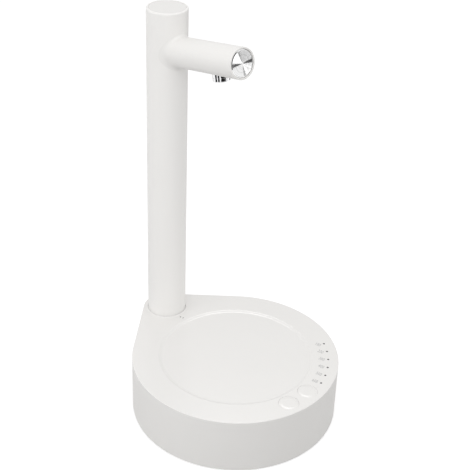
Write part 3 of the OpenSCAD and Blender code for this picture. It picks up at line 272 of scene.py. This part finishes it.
def rim_edge(up):
    """Test for the edges between a level face and a standing one."""
    def test(edge):
        if len(edge.link_faces) != 2:
            return False
        tilt = sorted((f.normal.z * up for f in edge.link_faces), key=abs)
        return abs(tilt[0]) < 0.1 and tilt[1] > 0.9
    return test


def fit(piece, body, finish, stands_for=()):
    piece.data.materials.clear()
    piece.data.materials.append(finish)
    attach(piece, body)
    if stands_for:
        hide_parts(*stands_for)
    return piece


# Finishes
class Value:
    """An output socket that takes part in sums and products."""

    def __init__(self, finish, socket):
        self.finish, self.socket = finish, socket

    def _math(self, operation, a, b):
        return self.finish.node("ShaderNodeMath", {"operation": operation}, {0: a, 1: b})

    def __add__(self, other):
        return self._math("ADD", self, other)

    def __radd__(self, other):
        return self._math("ADD", other, self)

    def __sub__(self, other):
        return self._math("SUBTRACT", self, other)

    def __rsub__(self, other):
        return self._math("SUBTRACT", other, self)

    def __mul__(self, other):
        return self._math("MULTIPLY", self, other)

    def __rmul__(self, other):
        return self._math("MULTIPLY", other, self)

    def __truediv__(self, other):
        return self._math("DIVIDE", self, other)

    def __pow__(self, other):
        return self._math("POWER", self, other)

    def most(self, other):
        return self._math("MAXIMUM", self, other)


class Finish:
    """A material with one main shader."""

    def __init__(self, name, tree=None, **constants):
        self.tree = tree
        if tree:
            return
        self.material = bpy.data.materials.new(name)
        self.material.use_nodes = True
        self.tree = self.material.node_tree
        self.tree.nodes.clear()
        self.shader = self.tree.nodes.new("ShaderNodeBsdfPrincipled")
        self.out = self.tree.nodes.new("ShaderNodeOutputMaterial")
        self.tree.links.new(self.shader.outputs[0], self.out.inputs["Surface"])
        self.place = self.node("ShaderNodeTexCoord", output="Object")
        for key, value in constants.items():
            self.shader.inputs[key.replace("_", " ").title().replace("Ior", "IOR")].default_value = value

    def node(self, kind, settings=None, inputs=None, output=0):
        made_node = self.tree.nodes.new(kind)
        for key, value in (settings or {}).items():
            if key == "stops":
                ramp = made_node.color_ramp.elements
                while len(ramp) < len(value):
                    ramp.new(0.5)
                for stop, (at, colour) in zip(ramp, value):
                    stop.position, stop.color = at, colour
            else:
                setattr(made_node, key, value)
        for key, value in (inputs or {}).items():
            self.link(made_node.inputs[key], value)
        return Value(self, made_node.outputs[output])

    def link(self, socket, value):
        if isinstance(value, Value):
            self.tree.links.new(value.socket, socket)
        else:
            socket.default_value = value

    def feed(self, socket, value):
        self.link(self.shader.inputs[socket], value)

    def noise(self, scale, detail=2.0, place=None):
        return self.node("ShaderNodeTexNoise", {}, {
            "Vector": place or self.place, "Scale": scale, "Detail": detail})

    def blend(self, factor, low, high):
        return self.node("ShaderNodeMix", {"data_type": "RGBA"}, {
            0: factor, 6: (*low, 1), 7: (*high, 1)}, output=2)

    def part(self, axis, place=None):
        return self.node("ShaderNodeSeparateXYZ", {}, {0: place or self.place}, output=axis)

    def wave(self, scale, place=None, **settings):
        return self.node("ShaderNodeTexWave", settings, {"Vector": place or self.place, "Scale": scale})

    def moved(self, location=(0, 0, 0), rotation=(0, 0, 0), scale=(1, 1, 1)):
        return self.node("ShaderNodeMapping", {}, {
            "Vector": self.place, "Location": location, "Rotation": rotation, "Scale": scale})

    def bump(self, height, strength, depth):
        self.feed("Normal", self.node("ShaderNodeBump", {}, {
            "Strength": strength, "Distance": depth, "Height": height}))


def moulded(name, dark, light, rough, spread=0.08, grain=4200, strength=0.1, cloud=18, **constants):
    """Moulded plastic or rubber: a cloudy tone, a slightly uneven gloss and a fine grain."""
    f = Finish(name, **constants)
    clouds = f.noise(cloud, 3)
    f.feed("Base Color", f.blend(clouds, dark, light))
    f.feed("Roughness", rough + spread * f.noise(cloud * 4, 2))
    f.bump(f.noise(grain, 2), strength, 2e-5)
    return f.material


def white(tone):
    """Warm white."""
    return (tone, tone - 0.012, tone - 0.03)


def base_plastic():
    """The base's plastic: a smooth top and finely textured, matt sides."""
    f = Finish("base_plastic", specular_ior_level=0.4)
    f.feed("Base Color", f.blend(f.noise(18, 3), white(0.825), white(0.845)))
    side = f.node("ShaderNodeMath", {"operation": "LESS_THAN"}, {
        0: f.part(2), 1: (BASE_H - TRAY_DEPTH - 0.1) * MM})
    f.feed("Roughness", 0.2 + 0.4 * side + 0.06 * f.noise(72, 2))
    f.bump(f.noise(5200, 2), 0.05, 2e-5)
    return f.material


def drawn_metal(name, dark, light, rough, scale, stretch, strength=0.12, **constants):
    """Metal with fine lines along one direction."""
    f = Finish(name, metallic=1.0, **constants)
    lines = f.noise(scale, 4, f.moved(scale=stretch))
    f.feed("Base Color", f.blend(lines, dark, light))
    f.feed("Roughness", rough + 0.12 * lines)
    f.bump(lines, strength, 1e-5)
    return f.material


def spun_metal():
    """Metal turned on a lathe: rings of slightly different tone about the arm's axis."""
    f = Finish("spun_metal", metallic=1.0)
    lathe = ALONG_ARM.inverted()
    axis = f.moved(location=lathe.translation, rotation=lathe.to_euler())
    x, y = f.part(0, axis), f.part(1, axis)
    radius = (x * x + y * y) ** 0.5
    rings = f.node("ShaderNodeTexNoise", {"noise_dimensions": "1D"}, {
        "W": radius * 900, "Scale": 0.9, "Detail": 4.0})
    f.feed("Base Color", f.blend((rings - 0.5) * 2.5 + 0.5, (0.76, 0.76, 0.76), (0.98, 0.98, 0.98)))
    f.feed("Roughness", 0.05 + 0.06 * rings)
    return f.material


def chrome():
    """Polished plating with a faint haze."""
    f = Finish("chrome", metallic=1.0)
    haze = f.noise(260, 4)
    f.feed("Base Color", f.blend(haze, (0.80, 0.80, 0.81), (0.88, 0.88, 0.89)))
    f.feed("Roughness", 0.04 + 0.06 * haze)
    return f.material


def circuit_board():
    """Green solder mask with raised tracks."""
    f = Finish("board", coat_weight=0.3)
    tracks = f.node("ShaderNodeTexBrick", {"offset": 0.37}, {
        "Vector": f.place, "Scale": 190.0, "Mortar Size": 0.06,
        "Color1": (0, 0, 0, 1), "Color2": (0, 0, 0, 1), "Mortar": (1, 1, 1, 1)})
    f.feed("Base Color", f.blend(tracks, (0.008, 0.09, 0.03), (0.02, 0.17, 0.07)))
    f.feed("Roughness", 0.32 + 0.1 * f.noise(60, 2))
    f.bump(tracks, 0.3, 3e-5)
    return f.material


def shrink_sleeve():
    """Shrink sleeve of the battery cells, with a pale band at one end of each."""
    f = Finish("cell")
    along = f.part(1)
    band = f.node("ShaderNodeMath", {"operation": "GREATER_THAN"}, {0: along, 1: 0.0265})
    f.feed("Base Color", f.blend(band, (0.03, 0.11, 0.30), (0.72, 0.73, 0.74)))
    f.feed("Roughness", 0.28 + 0.12 * f.noise(90, 3))
    f.bump(f.noise(500, 3), 0.15, 4e-5)
    return f.material


def winding():
    """Enamelled copper wire, laid in turns along the armature."""
    f = Finish("winding", metallic=0.9)
    turns = f.wave(1100, bands_direction="Y")
    f.feed("Base Color", f.blend(turns, (0.20, 0.06, 0.02), (0.62, 0.25, 0.10)))
    f.feed("Roughness", 0.28 + 0.15 * turns)
    f.bump(turns, 0.5, 8e-5)
    return f.material


def ink(name, tone):
    """Grey printing."""
    f = Finish(name)
    f.feed("Base Color", f.blend(f.noise(2500, 2), (tone - 0.04,) * 3, (tone + 0.04,) * 3))
    f.feed("Roughness", 0.5 + 0.1 * f.noise(900, 2))
    return f.material


FINISHES = {
    "white_plastic": moulded("white_plastic", white(0.825), white(0.845), 0.20, 0.06, 5200, 0.05),
    "base_plastic": base_plastic(),
    # The spout's and the column's plastic are lighter copies of the white plastic: painted light, for the
    # upright parts being lit more than the base's sides.
    "spout_plastic_painted_light": moulded("spout_plastic_painted_light", white(0.855), white(0.875), 0.42, 0.06, 5200, 0.05,
                             specular_ior_level=0.35),
    "column_plastic_painted_light": moulded("column_plastic_painted_light", white(0.890), white(0.910), 0.42, 0.06, 5200, 0.05,
                              specular_ior_level=0.35),
    "cover_plastic": moulded("cover_plastic", (0.700, 0.695, 0.685), (0.740, 0.735, 0.725),
                             0.5, 0.1, 1500, 0.3),
    "inner_plastic": moulded("inner_plastic", (0.74, 0.74, 0.72), (0.80, 0.80, 0.78), 0.4, 0.1, 2600, 0.12),
    "black_plastic": moulded("black_plastic", (0.018, 0.018, 0.019), (0.035, 0.035, 0.037),
                             0.42, 0.12, 2600, 0.2),
    "grey_window": moulded("grey_window", (0.070, 0.070, 0.074), (0.095, 0.095, 0.100),
                           0.14, 0.08, 3200, 0.03, coat_weight=0.4),
    "rubber": moulded("rubber", (0.022, 0.022, 0.022), (0.045, 0.045, 0.045), 0.72, 0.14, 1800, 0.3),
    "foot_rubber": moulded("foot_rubber", (0.20, 0.20, 0.20), (0.26, 0.26, 0.26), 0.75, 0.14, 1300, 0.35),
    "silicone": moulded("silicone", (0.70, 0.70, 0.68), (0.80, 0.80, 0.78), 0.36, 0.14, 1500, 0.08,
                        cloud=60, transmission_weight=0.25),
    "board": circuit_board(),
    "lamp": moulded("lamp", (0.78, 0.76, 0.58), (0.90, 0.88, 0.70), 0.12, 0.1, 2000, 0.05, coat_weight=0.5),
    "steel": drawn_metal("steel", (0.46, 0.46, 0.47), (0.62, 0.62, 0.63), 0.22, 700, (1, 1, 0.2)),
    "can_steel": drawn_metal("can_steel", (0.52, 0.52, 0.52), (0.68, 0.68, 0.69), 0.26, 420, (1, 0.08, 1)),
    "chrome": chrome(),
    "spun_metal": spun_metal(),
    "cell": shrink_sleeve(),
    "magnet": moulded("magnet", (0.030, 0.029, 0.029), (0.070, 0.068, 0.066),
                      0.6, 0.2, 900, 0.4, cloud=120),
    "winding": winding(),
    "bronze": drawn_metal("bronze", (0.42, 0.26, 0.09), (0.62, 0.42, 0.18), 0.34, 1200, (1, 1, 1), 0.3),
    "gear_plastic": moulded("gear_plastic", (0.78, 0.76, 0.68), (0.85, 0.83, 0.75), 0.36, 0.1, 2600, 0.1),
    "lead": moulded("lead", (0.34, 0.012, 0.012), (0.46, 0.020, 0.018), 0.36, 0.1, 2200, 0.12, cloud=140),
    "pale_ink": ink("pale_ink", 0.42),
    "dark_ink": ink("dark_ink", 0.2),
}
for part in frame["record"]["subparts"]:
    nodes[part["node"]].data.materials.clear()
    nodes[part["node"]].data.materials.append(FINISHES[part["material_slot"]])


# Base
def teardrop(name, inset, low, high):
    """Block with the base's outline, drawn in by the given amount."""
    return wrap(name, [rod("round_part", BASE_R - inset, low, high, 192),
                       rod("lobe", LOBE_R - inset, low, high, 96, (0, COLUMN_Y))])


def obround(name, width, height, depth):
    """Rounded slot, from the wall's face inwards."""
    r, side = height / 2, (width - height) / 2
    return wrap(name, [rod("slot_end", r, -depth, 0, 32, (0, y)) for y in (-side, side)])


def tray_tool():
    """Shape of the shallow tray, with soft edges."""
    low, high, steps = BASE_H - TRAY_DEPTH, BASE_H - 0.004, 10
    slope = []
    for i in range(steps + 1):
        t = i / steps
        rise = (ease(t) + t ** 3 * (4 - 3 * t)) / 2
        slope.append((TRAY_R - TRAY_SLOPE * (1 - t), low + (high - low) * rise))
    return turned("tray_tool", slope + [(TRAY_R + 0.02, BASE_H + 2)], 192)


def key_hole(side):
    """Button hole with a fine chamfer."""
    hole = KEY_R + KEY_GAP
    profile = [(hole, CEILING - 2), (hole, BASE_H - 0.1), (hole + 0.12, BASE_H + 0.02),
               (hole + 0.12, BASE_H + 2)]
    return place(turned("key_hole", profile), shift(*KEYS[side]))


def base_housing():
    shell = teardrop("base_housing", 0, RIM, BASE_H)
    bevel_edges(shell, rim_edge(1), EDGE_ROUND, 5)
    bevel_edges(shell, rim_edge(-1), FOOT_ROUND, 3)
    bpy.ops.object.mode_set(mode="EDIT")
    pick(shell, "FACE", lambda f: f.normal.z < -0.9)
    bpy.ops.mesh.inset(thickness=(WALL - FOOT_ROUND) * MM)
    bpy.ops.mesh.extrude_region_move(TRANSFORM_OT_translate={"value": (0, 0, (CEILING - RIM) * MM)})
    bpy.ops.object.mode_set(mode="OBJECT")

    rooted = CEILING + 0.5
    inside = [rod("post", POST_R, FLOOR, rooted, 32, p) for p in POSTS]
    inside += [rod("boss", BOSS_R, CEILING - 5, rooted, 32, polar(a, BOSS_RING)) for a in (-109, -72, -21)]
    inside += [rod("ear_boss", EAR_R, SOCKET_Z, rooted, 32, (x, COLUMN_Y + y))
               for x, y in (polar(a, EAR_RING) for a in (-20, 200, 270))]
    carve(shell, join("inside_posts", inside), "UNION")
    inner = SKIRT_R - 1
    carve(shell, place(tube("skirt", inner, SKIRT_R + SKIRT_WALL, SOCKET_Z, rooted), UPRIGHT), "UNION")
    fillet = arc(SKIRT_R + COLLAR, BASE_H + COLLAR, COLLAR - 0.04, 180, 270, 8)
    collar = [(inner, BASE_H - 1), (inner, BASE_H + COLLAR)] + fillet
    collar += [(SKIRT_R + COLLAR, BASE_H - 1), (inner, BASE_H - 1)]
    carve(shell, place(turned("collar", collar), UPRIGHT), "UNION")

    carve(shell, tray_tool())
    tools = [rod("column_hole", SKIRT_R, SOCKET_Z - 2, BASE_H + 4, 96, (0, COLUMN_Y))]
    tools += [key_hole(side) for side in (-1, 1)]
    tools += [rod("lamp_hole", LAMP_R + 0.05, CEILING - 1, BASE_H + 1, 24, polar(a, LAMP_RING))
              for a in LAMPS]
    inlet = rod("inlet_hole", INLET_BODY + 0.05, -WALL - 3, 3, 48)
    tools.append(place(inlet, on_flat(INLET_ALONG, INLET_Z) @ OUT_OF_FLAT))
    slot = obround("port_hole", PORT_W + 0.5, PORT_H + 0.5, WALL + 6)
    tools.append(place(slot, on_flat(PORT_ALONG, PORT_Z) @ OUT_OF_FLAT @ shift(z=2)))
    carve(shell, join("shell_holes", tools))
    return soften(shell)


fit(base_housing(), "base", FINISHES["base_plastic"], ["base_shell"])


def key(name, side):
    """Push button: a cap whose top falls away softly towards its edge."""
    cap, edge, steps = KEY_R + 0.25, KEY_R - 0.1, 10
    profile = [(KEY_RIM, CEILING - 1.8), (KEY_RIM, CEILING - 0.3)]
    profile += [(cap, CEILING - 0.3), (cap, BASE_H - KEY_FALL)]
    for i in range(steps + 1):
        t = i / steps
        profile.append((edge + (KEY_FLAT - edge) * t, BASE_H - KEY_FALL * (1 - ease(t))))
    return place(turned(name, profile), shift(*KEYS[side]))


for name, side, node in (("left_key", -1, "left_button"), ("right_key", 1, "right_button")):
    fit(soften(key(name, side)), node, FINISHES["base_plastic"], [node])


# Underside
def underside_plate():
    plate = teardrop("underside_plate", COVER_IN, COVER_Z, COVER_Z + COVER_T)
    bevel_edges(plate, rim_edge(-1), 0.4, 2)
    brackets = [(BATTERY_X + side * BATTERY_EAR, 0) for side in (-1, 1)]
    brackets += [(PUMP_X + side * PUMP_EAR, PUMP_Y) for side in (-1, 1)]
    bosses = [rod("boss", 3, FLOOR - 0.5, FLOOR + 5, 32, p) for p in brackets]
    for side in (-1, 1):
        spot = on_flat(PORT_ALONG + side * 5.6, 0) @ Vector((-13.3 * MM, 0, 0))
        bosses.append(rod("port_post", 2.5, FLOOR - 0.5, FLOOR + 8, 32, (spot.x / MM, spot.y / MM)))
    carve(plate, join("plate_bosses", bosses), "UNION")
    tools = [tube("ring_groove", RING_IN - 0.05, RING_OUT + 0.05, 0, COVER_Z + RING_SINK, 160)]
    for p in POSTS:
        seat = COVER_Z + HEAD_H
        sink = turned("screw_sink", [(HEAD_R + 0.7, 0), (HEAD_R + 0.7, COVER_Z),
                                     (HEAD_R + 0.3, COVER_Z + 0.4), (HEAD_R + 0.3, seat),
                                     (SCREW_R + 0.1, seat), (SCREW_R + 0.1, FLOOR + 1)], 32)
        tools.append(place(sink, shift(*p)))
    carve(plate, join("plate_holes", tools))
    return soften(plate)


def grip_ring():
    """Anti-slip ring with three ribs underneath."""
    top, ribs = COVER_Z + RING_SINK, []
    for i in range(3):
        middle = RING_IN + 1.2 + 2.3 * i
        ribs += arc(middle, 0.5, 0.5, 200, 340, 6)
    return soften(turned("grip_ring", [(RING_IN, top), (RING_IN, 0.8)] + ribs
                         + [(RING_OUT, 0.8), (RING_OUT, top), (RING_IN, top)], 160))


def plate_screws():
    """Cross-head screws of the underside plate, heads down."""
    shank, pitch = COVER_Z + HEAD_H, 0.5
    thread = [(SCREW_R, shank)]
    for i in range(18):
        z = shank + 0.6 + i * pitch
        thread += [(SCREW_R, z), (SCREW_R - pitch / 2, z + pitch / 2)]
    head = [(0.9, COVER_Z + 0.02)] + arc(HEAD_R - 0.5, COVER_Z + 0.5, 0.5, 270, 360, 5)
    first = turned("plate_screw", head + [(HEAD_R, shank)] + thread + [(0.5, shank + 10)], 32)
    cross = join("cross", [block("slot_x", (-1.5, -0.3, COVER_Z - 1), (1.5, 0.3, COVER_Z + 0.9)),
                           block("slot_y", (-0.3, -1.5, COVER_Z - 1), (0.3, 1.5, COVER_Z + 0.9))])
    carve(first, cross)
    soften(first)
    copies = []
    for i, p in enumerate(POSTS):
        only(first)
        bpy.ops.object.duplicate()
        copies.append(place(bpy.context.object, shift(*p) @ spin(37 * i, "Z")))
    bpy.data.objects.remove(first)
    return join("plate_screws", copies)


fit(underside_plate(), "base", FINISHES["cover_plastic"], ["bottom_cover"])
fit(grip_ring(), "base", FINISHES["foot_rubber"], ["foot_ring"])
fit(plate_screws(), "base", FINISHES["steel"], ["cover_screws"])


# Column and spout
def column_sleeve():
    profile = [(COLUMN_R - 0.3, COLUMN_END), (COLUMN_R, COLUMN_END + 0.3)]
    profile += arc(COLUMN_R - 1.2, COLUMN_TOP - 1.2, 1.2, 0, 90, 8)
    profile += [(COLUMN_BORE + 0.12, COLUMN_TOP), (COLUMN_BORE, COLUMN_TOP - 0.12), (COLUMN_BORE, COLUMN_END),
                (COLUMN_R - 0.3, COLUMN_END)]
    sleeve = place(turned("column_sleeve", profile, 128), UPRIGHT)
    return soften(carve(sleeve, place(rod("arm_hole", ARM_R + 0.05, 0, 60, 96), ALONG_ARM)))


def column_lid():
    r = COLUMN_BORE - 0.08
    profile = [(r, COLUMN_TOP - 4)] + arc(r - 0.3, COLUMN_TOP - 0.3, 0.3, 0, 90, 4)
    return soften(place(turned("column_lid", profile, 128), UPRIGHT))


def spout_root():
    """Soft fillet where the spout leaves the column: rings drawn onto the column, then lifted off it."""
    steps, start = 8, 40
    rows = [(ARM_R - 0.62, -0.05)]
    for i in range(steps + 1):
        a = math.radians(90 - 90 * i / steps)
        rows.append((ARM_R + 0.01 + ROOT_FILLET * (1 - math.cos(a)), ROOT_FILLET * (1 - math.sin(a))))
    rows.append((ARM_R - 0.6, ROOT_FILLET))
    profile = [(r, start + i) for i, (r, _) in enumerate(rows)] + [(rows[0][0], start)]
    root = turned("spout_root", profile, 128)
    target = place(rod("column_form", COLUMN_R, 0, 400, 256), ALONG_ARM.inverted() @ UPRIGHT)
    only(root)
    bpy.ops.object.modifier_add(type="SHRINKWRAP")
    drawn = root.modifiers[-1]
    drawn.wrap_method, drawn.target, drawn.use_project_z = "PROJECT", target, True
    drawn.use_negative_direction, drawn.use_positive_direction = True, False
    apply_last(root)
    bpy.data.objects.remove(target)
    bpy.ops.object.mode_set(mode="EDIT")
    for r, lift in rows:
        pick(root, "VERT", lambda v: abs(math.hypot(v.co.x, v.co.y) / MM - r) < 0.004)
        bpy.ops.transform.translate(value=(0, 0, lift * MM))
    close_mesh()
    bpy.ops.object.mode_set(mode="OBJECT")
    return root


def spout_sleeve():
    profile = [(ARM_BORE, ARM_IN), (ARM_R, ARM_IN)]
    profile += arc(ARM_R - 0.5, ARM_END - 0.5, 0.5, 0, 90, 5)
    profile += arc(ARM_BORE + 0.3, ARM_END - 0.3, 0.3, 90, 180, 4) + [(ARM_BORE, ARM_IN)]
    hole = place(rod("nozzle_hole", NOZZLE_R + 0.05, 0, 30, 64), ALONG_ARM.inverted() @ ALONG_NOZZLE)
    sleeve = carve(turned("spout_sleeve", profile, 128), hole)
    return soften(place(carve(sleeve, spout_root(), "UNION"), ALONG_ARM))


def spun_disc():
    """Lathe-turned disc in the arm's end: fine saw-tooth rings round a small centre, with a bevelled rim."""
    face, r, pitch, depth = ARM_END - 0.3, ARM_BORE - 0.05, 0.46, 0.046
    profile = [(r, ARM_END - 2), (r, face - 0.5), (r - 0.9, face)]
    for i in range(21):
        ring = r - 1.1 - i * pitch
        profile += [(ring, face - depth), (ring - 0.85 * pitch, face)]
    profile.append((0.12, face - depth))
    return soften(place(turned("spun_disc", profile, 144), ALONG_ARM), 15)


def nozzle_ring():
    inner = MOUTH_R - 1
    mouth = NOZZLE_END - GRID_IN - GRID_LEN
    profile = [(inner, NOZZLE_TOP), (NOZZLE_R, NOZZLE_TOP), (NOZZLE_R, ARM_R + 1.0),
               (NOZZLE_R - 0.18, ARM_R + 1.15), (NOZZLE_R, ARM_R + 1.3)]
    profile += arc(NOZZLE_R - 1.2, NOZZLE_END - 1.2, 1.2, 0, 90, 8)
    profile += arc(MOUTH_R + 0.4, NOZZLE_END - 0.4, 0.4, 90, 180, 5)
    profile += [(MOUTH_R, mouth), (inner, mouth), (inner, NOZZLE_TOP)]
    return soften(place(turned("nozzle_ring", profile, 96), ALONG_NOZZLE))


def stream_grid():
    """Flow straightener with seven holes."""
    top, low = NOZZLE_END - GRID_IN - GRID_LEN + 0.05, NOZZLE_END - GRID_IN + 0.05
    r = MOUTH_R - 0.05
    grid = turned("stream_grid", [(r, top), (r, low - 0.2), (r - 0.2, low)], 64)
    spots = [(0, 0)] + [polar(a, 3.35) for a in range(0, 360, 60)]
    carve(grid, join("grid_holes", [rod("grid_hole", 0.9, top - 1, low + 1, 24, p) for p in spots]))
    return soften(place(grid, ALONG_NOZZLE))


fit(column_sleeve(), "column", FINISHES["column_plastic_painted_light"], ["column_tube"])
fit(column_lid(), "column", FINISHES["white_plastic"], ["column_cap"])
fit(spout_sleeve(), "column", FINISHES["spout_plastic_painted_light"], ["arm_tube"])
fit(spun_disc(), "column", FINISHES["spun_metal"], ["end_disc"])
fit(nozzle_ring(), "column", FINISHES["chrome"], ["nozzle_body"])
fit(stream_grid(), "column", FINISHES["inner_plastic"], ["flow_straightener"])


# Sockets in the rear right wall
def hose_port():
    """Push-in inlet for the supply hose, with a release ring in its mouth."""
    end, stop, barb_step = -15, -13, 3.67
    profile = [(INLET_BORE, stop), (INLET_BORE, 1.1)] + arc(INLET_BORE + 0.5, 1.1, 0.5, 180, 90, 4)
    profile += [(5.5, 1.6), (5.6, 1.2), (5.9, 1.2), (6.0, 1.6)] + arc(8.0, 1.1, 0.5, 90, 0, 4)
    profile += [(8.5, 0.02), (INLET_BODY, 0.02), (INLET_BODY, end), (INLET_TAIL, end)]
    for i in range(3):
        root = end - 1.2 - i * barb_step
        profile += [(INLET_TAIL, root), (INLET_TAIL + 0.3, root - 0.05), (INLET_TAIL, root - 1.9)]
    profile += [(INLET_TAIL, end - 11), (2, end - 11), (2, stop), (INLET_BORE, stop)]
    return soften(place(turned("hose_port", profile, 64), on_flat(INLET_ALONG, INLET_Z) @ OUT_OF_FLAT))


def charging_port():
    shell = obround("charging_port", PORT_W, PORT_H, PORT_L)
    inner = obround("port_bore", PORT_W - 0.8, PORT_H - 0.8, PORT_L - 1)
    carve(shell, place(inner, shift(z=0.1)))
    bevel_edges(shell, rim_edge(1), 0.12, 2)
    tongue = block("tongue", (-0.35, -3.05, 0.5 - PORT_L), (0.35, 3.05, -0.9))
    bevel_edges(tongue, rim_edge(1), 0.2, 2)
    shell = join("charging_port", [shell, tongue])
    return soften(place(shell, on_flat(PORT_ALONG, PORT_Z) @ OUT_OF_FLAT @ shift(z=-PORT_SINK)))


fit(hose_port(), "base", FINISHES["inner_plastic"], ["inlet_fitting"])
fit(charging_port(), "base", FINISHES["steel"], ["charge_socket"])


# Printing on the base's top
def printed(pieces, name, tone):
    piece = join(name, pieces)
    bpy.ops.object.mode_set(mode="EDIT")
    close_mesh()
    bpy.ops.object.mode_set(mode="OBJECT")
    return fit(piece, "base", FINISHES[tone])


def number(words, x, y):
    only()
    bpy.ops.object.text_add()
    label = bpy.context.object
    label.data.body = words
    label.data.size = NUMBER_SIZE * MM
    label.data.extrude = PRINT_T / 2 * MM
    label.data.resolution_u = 3
    label.data.space_character = 1.1
    label.data.align_x, label.data.align_y = "CENTER", "CENTER"
    only(label)
    bpy.ops.object.convert(target="MESH")
    return place(bpy.context.object, shift(x, y, PRINT_Z) @ spin(NUMBER_TURN, "Z")
                 @ Matrix.Diagonal((NUMBER_WIDE, NUMBER_TALL, 1, 1)))


printed([number(str(100 * (6 - i)), *polar(a, NUMBER_RING)) for i, a in enumerate(LAMPS)],
        "scale_numbers", "pale_ink")


def alignment_mark():
    """Small mark that shows the column's locked place: a wedge and a bar."""
    only()
    bpy.ops.mesh.primitive_cylinder_add(vertices=3, radius=1.05 * MM, depth=PRINT_T * MM)
    wedge = place(made("wedge"), shift(-0.9, 74.5, PRINT_Z))
    bar = place(block("bar", (-0.9, -0.3, -PRINT_T / 2), (0.9, 0.3, PRINT_T / 2)), shift(0, 71.8, PRINT_Z))
    printed([wedge, bar], "alignment_mark", "dark_ink")


alignment_mark()


# Floor, world and lamps
WORLD_LEVEL, FLOOR_GLOW = 0.83, 0.62


def shown_rays(f):
    """One for what the camera, polished metal and clear parts see, nought for the light on the object."""
    camera_ray, glossy_ray, clear_ray = (f.node("ShaderNodeLightPath", output="Is %s Ray" % kind)
                                         for kind in ("Camera", "Glossy", "Transmission"))
    return camera_ray.most(glossy_ray).most(clear_ray)


def studio():
    only()
    bpy.ops.mesh.primitive_plane_add(size=12)
    floor = made("floor")
    f = Finish("floor_paint", roughness=1.0, specular_ior_level=0.0, base_color=(0.5, 0.5, 0.5, 1))
    glow = f.node("ShaderNodeEmission", {}, {"Color": (1, 1, 1, 1), "Strength": FLOOR_GLOW * shown_rays(f)})
    both = f.node("ShaderNodeAddShader", {}, {0: Value(f, f.shader.outputs[0]), 1: glow})
    f.link(f.out.inputs["Surface"], both)
    floor.data.materials.append(f.material)

    world = bpy.data.worlds.new("studio")
    scene.world = world
    world.use_nodes = True
    w = Finish("studio_air", world.node_tree)
    back = w.tree.nodes["Background"]
    back.inputs["Color"].default_value = (1, 1, 1, 1)
    w.link(back.inputs["Strength"], WORLD_LEVEL + (1 - WORLD_LEVEL) * shown_rays(w))


def softbox(name, place_at, look_at, size, power):
    only()
    bpy.ops.object.light_add(type="AREA", location=place_at)
    lamp = bpy.context.object
    lamp.name = name
    lamp.data.shape = "RECTANGLE"
    lamp.data.size, lamp.data.size_y = size
    lamp.data.energy = power
    lamp.rotation_mode = "QUATERNION"
    lamp.rotation_quaternion = (Vector(look_at) - Vector(place_at)).to_track_quat("-Z", "Y")


def card(name, centre, along, facing, size, glow):
    """Studio card that shows in polished metal only: black, or lit by its own glow."""
    only()
    bpy.ops.mesh.primitive_plane_add(size=1)
    piece = bpy.context.object
    piece.name = name
    normal = Vector(facing).normalized()
    x = (Vector(along) - Vector(along).dot(normal) * normal).normalized()
    turn = Matrix((x, normal.cross(x), normal)).transposed().to_4x4()
    piece.matrix_world = Matrix.Translation(centre) @ turn @ Matrix.Diagonal((*size, 1, 1))
    piece.visible_camera = piece.visible_diffuse = False
    piece.visible_shadow = piece.visible_transmission = False
    f = Finish(name + "_paint")
    light = f.node("ShaderNodeEmission", {}, {"Color": (1, 1, 1, 1), "Strength": glow})
    f.link(f.out.inputs["Surface"], light)
    piece.data.materials.append(f.material)


def room_cards():
    """The dark side of the room, behind the camera, and two low grey panels, round the object."""
    for name, bearing, wide, far, high, glow in (
            ("room_card_a", 160, 27, 0.55, 0.41, 0.02), ("room_card_b", -163, 23, 0.8, 0.6, 0.02),
            ("room_card_c", -112, 46, 1.1, 0.82, 0.02), ("room_card_d", 8, 44, 0.6, 0.24, 0.25),
            ("room_card_e", -77, 24, 0.8, 0.45, 0.2)):
        out = Vector((*polar(bearing, 1), 0))
        card(name, Vector((0, 0.03, 0.012 + high / 2)) + out * far, out.cross(Vector((0, 0, 1))), -out,
             (2 * far * math.tan(math.radians(wide / 2)), high), glow)


def disc_cards():
    """Cards where the rings of the spun disc throw the view: wide pale ones and narrow dark ones."""
    centre = ALONG_ARM @ Vector((0, 0, (ARM_END - 1) * MM))
    across, rise, n = (ALONG_ARM.to_3x3() @ Vector(v) for v in ((1, 0, 0), (0, 1, 0), (0, 0, 1)))
    v = (scene.camera.location - centre).normalized()
    mirror = 2 * n.dot(v) * n - v
    for name, angle, wide, far, glow in (
            ("grey_card", 50, 0.42, 0.66, 0.6), ("pale_card", 230, 0.42, 0.66, 0.95),
            ("white_card_a", 140, 0.27, 0.63, 1.3), ("white_card_b", -40, 0.25, 0.63, 1.3),
            ("dark_card_a", 0, 0.06, 0.6, 0.1), ("dark_card_b", 180, 0.075, 0.6, 0.1),
            ("dark_card_c", 101, 0.05, 0.6, 0.25), ("dark_card_d", -79, 0.05, 0.6, 0.25)):
        a = math.radians(angle)
        groove = math.cos(a) * across + math.sin(a) * rise
        sweep = n.dot(v) * groove + groove.dot(v) * n
        sweep = (sweep - sweep.dot(mirror) * mirror).normalized()
        card(name, centre + (mirror + sweep * 0.2) * far, sweep, -mirror, (0.34 * far, wide * far), glow)
    rim = Vector((0.153, -0.87, 0.47))
    card("rim_card", centre + rim * 0.5, rim.cross(Vector((0, 0, 1))), -rim, (0.4, 0.3), 0.02)


studio()
room_cards()
disc_cards()
card("top_card", (0.40, 0.42, 1.05), (-0.35, 0.35, 0), (-0.40, -0.42, -1.0), (0.38, 0.42), 8.0)
softbox("key_softbox", (-0.5, -0.4, 0.95), (0, 0.05, 0.15), (0.4, 0.4), 1.3)
softbox("left_softbox", (-0.8, 0.1, 0.45), (0, 0.06, 0.2), (0.5, 0.5), 1.15)
softbox("right_softbox", (0.55, -0.75, 0.45), (0, 0.03, 0.15), (0.5, 0.5), 0.5)

scene.view_settings.view_transform = "Standard"
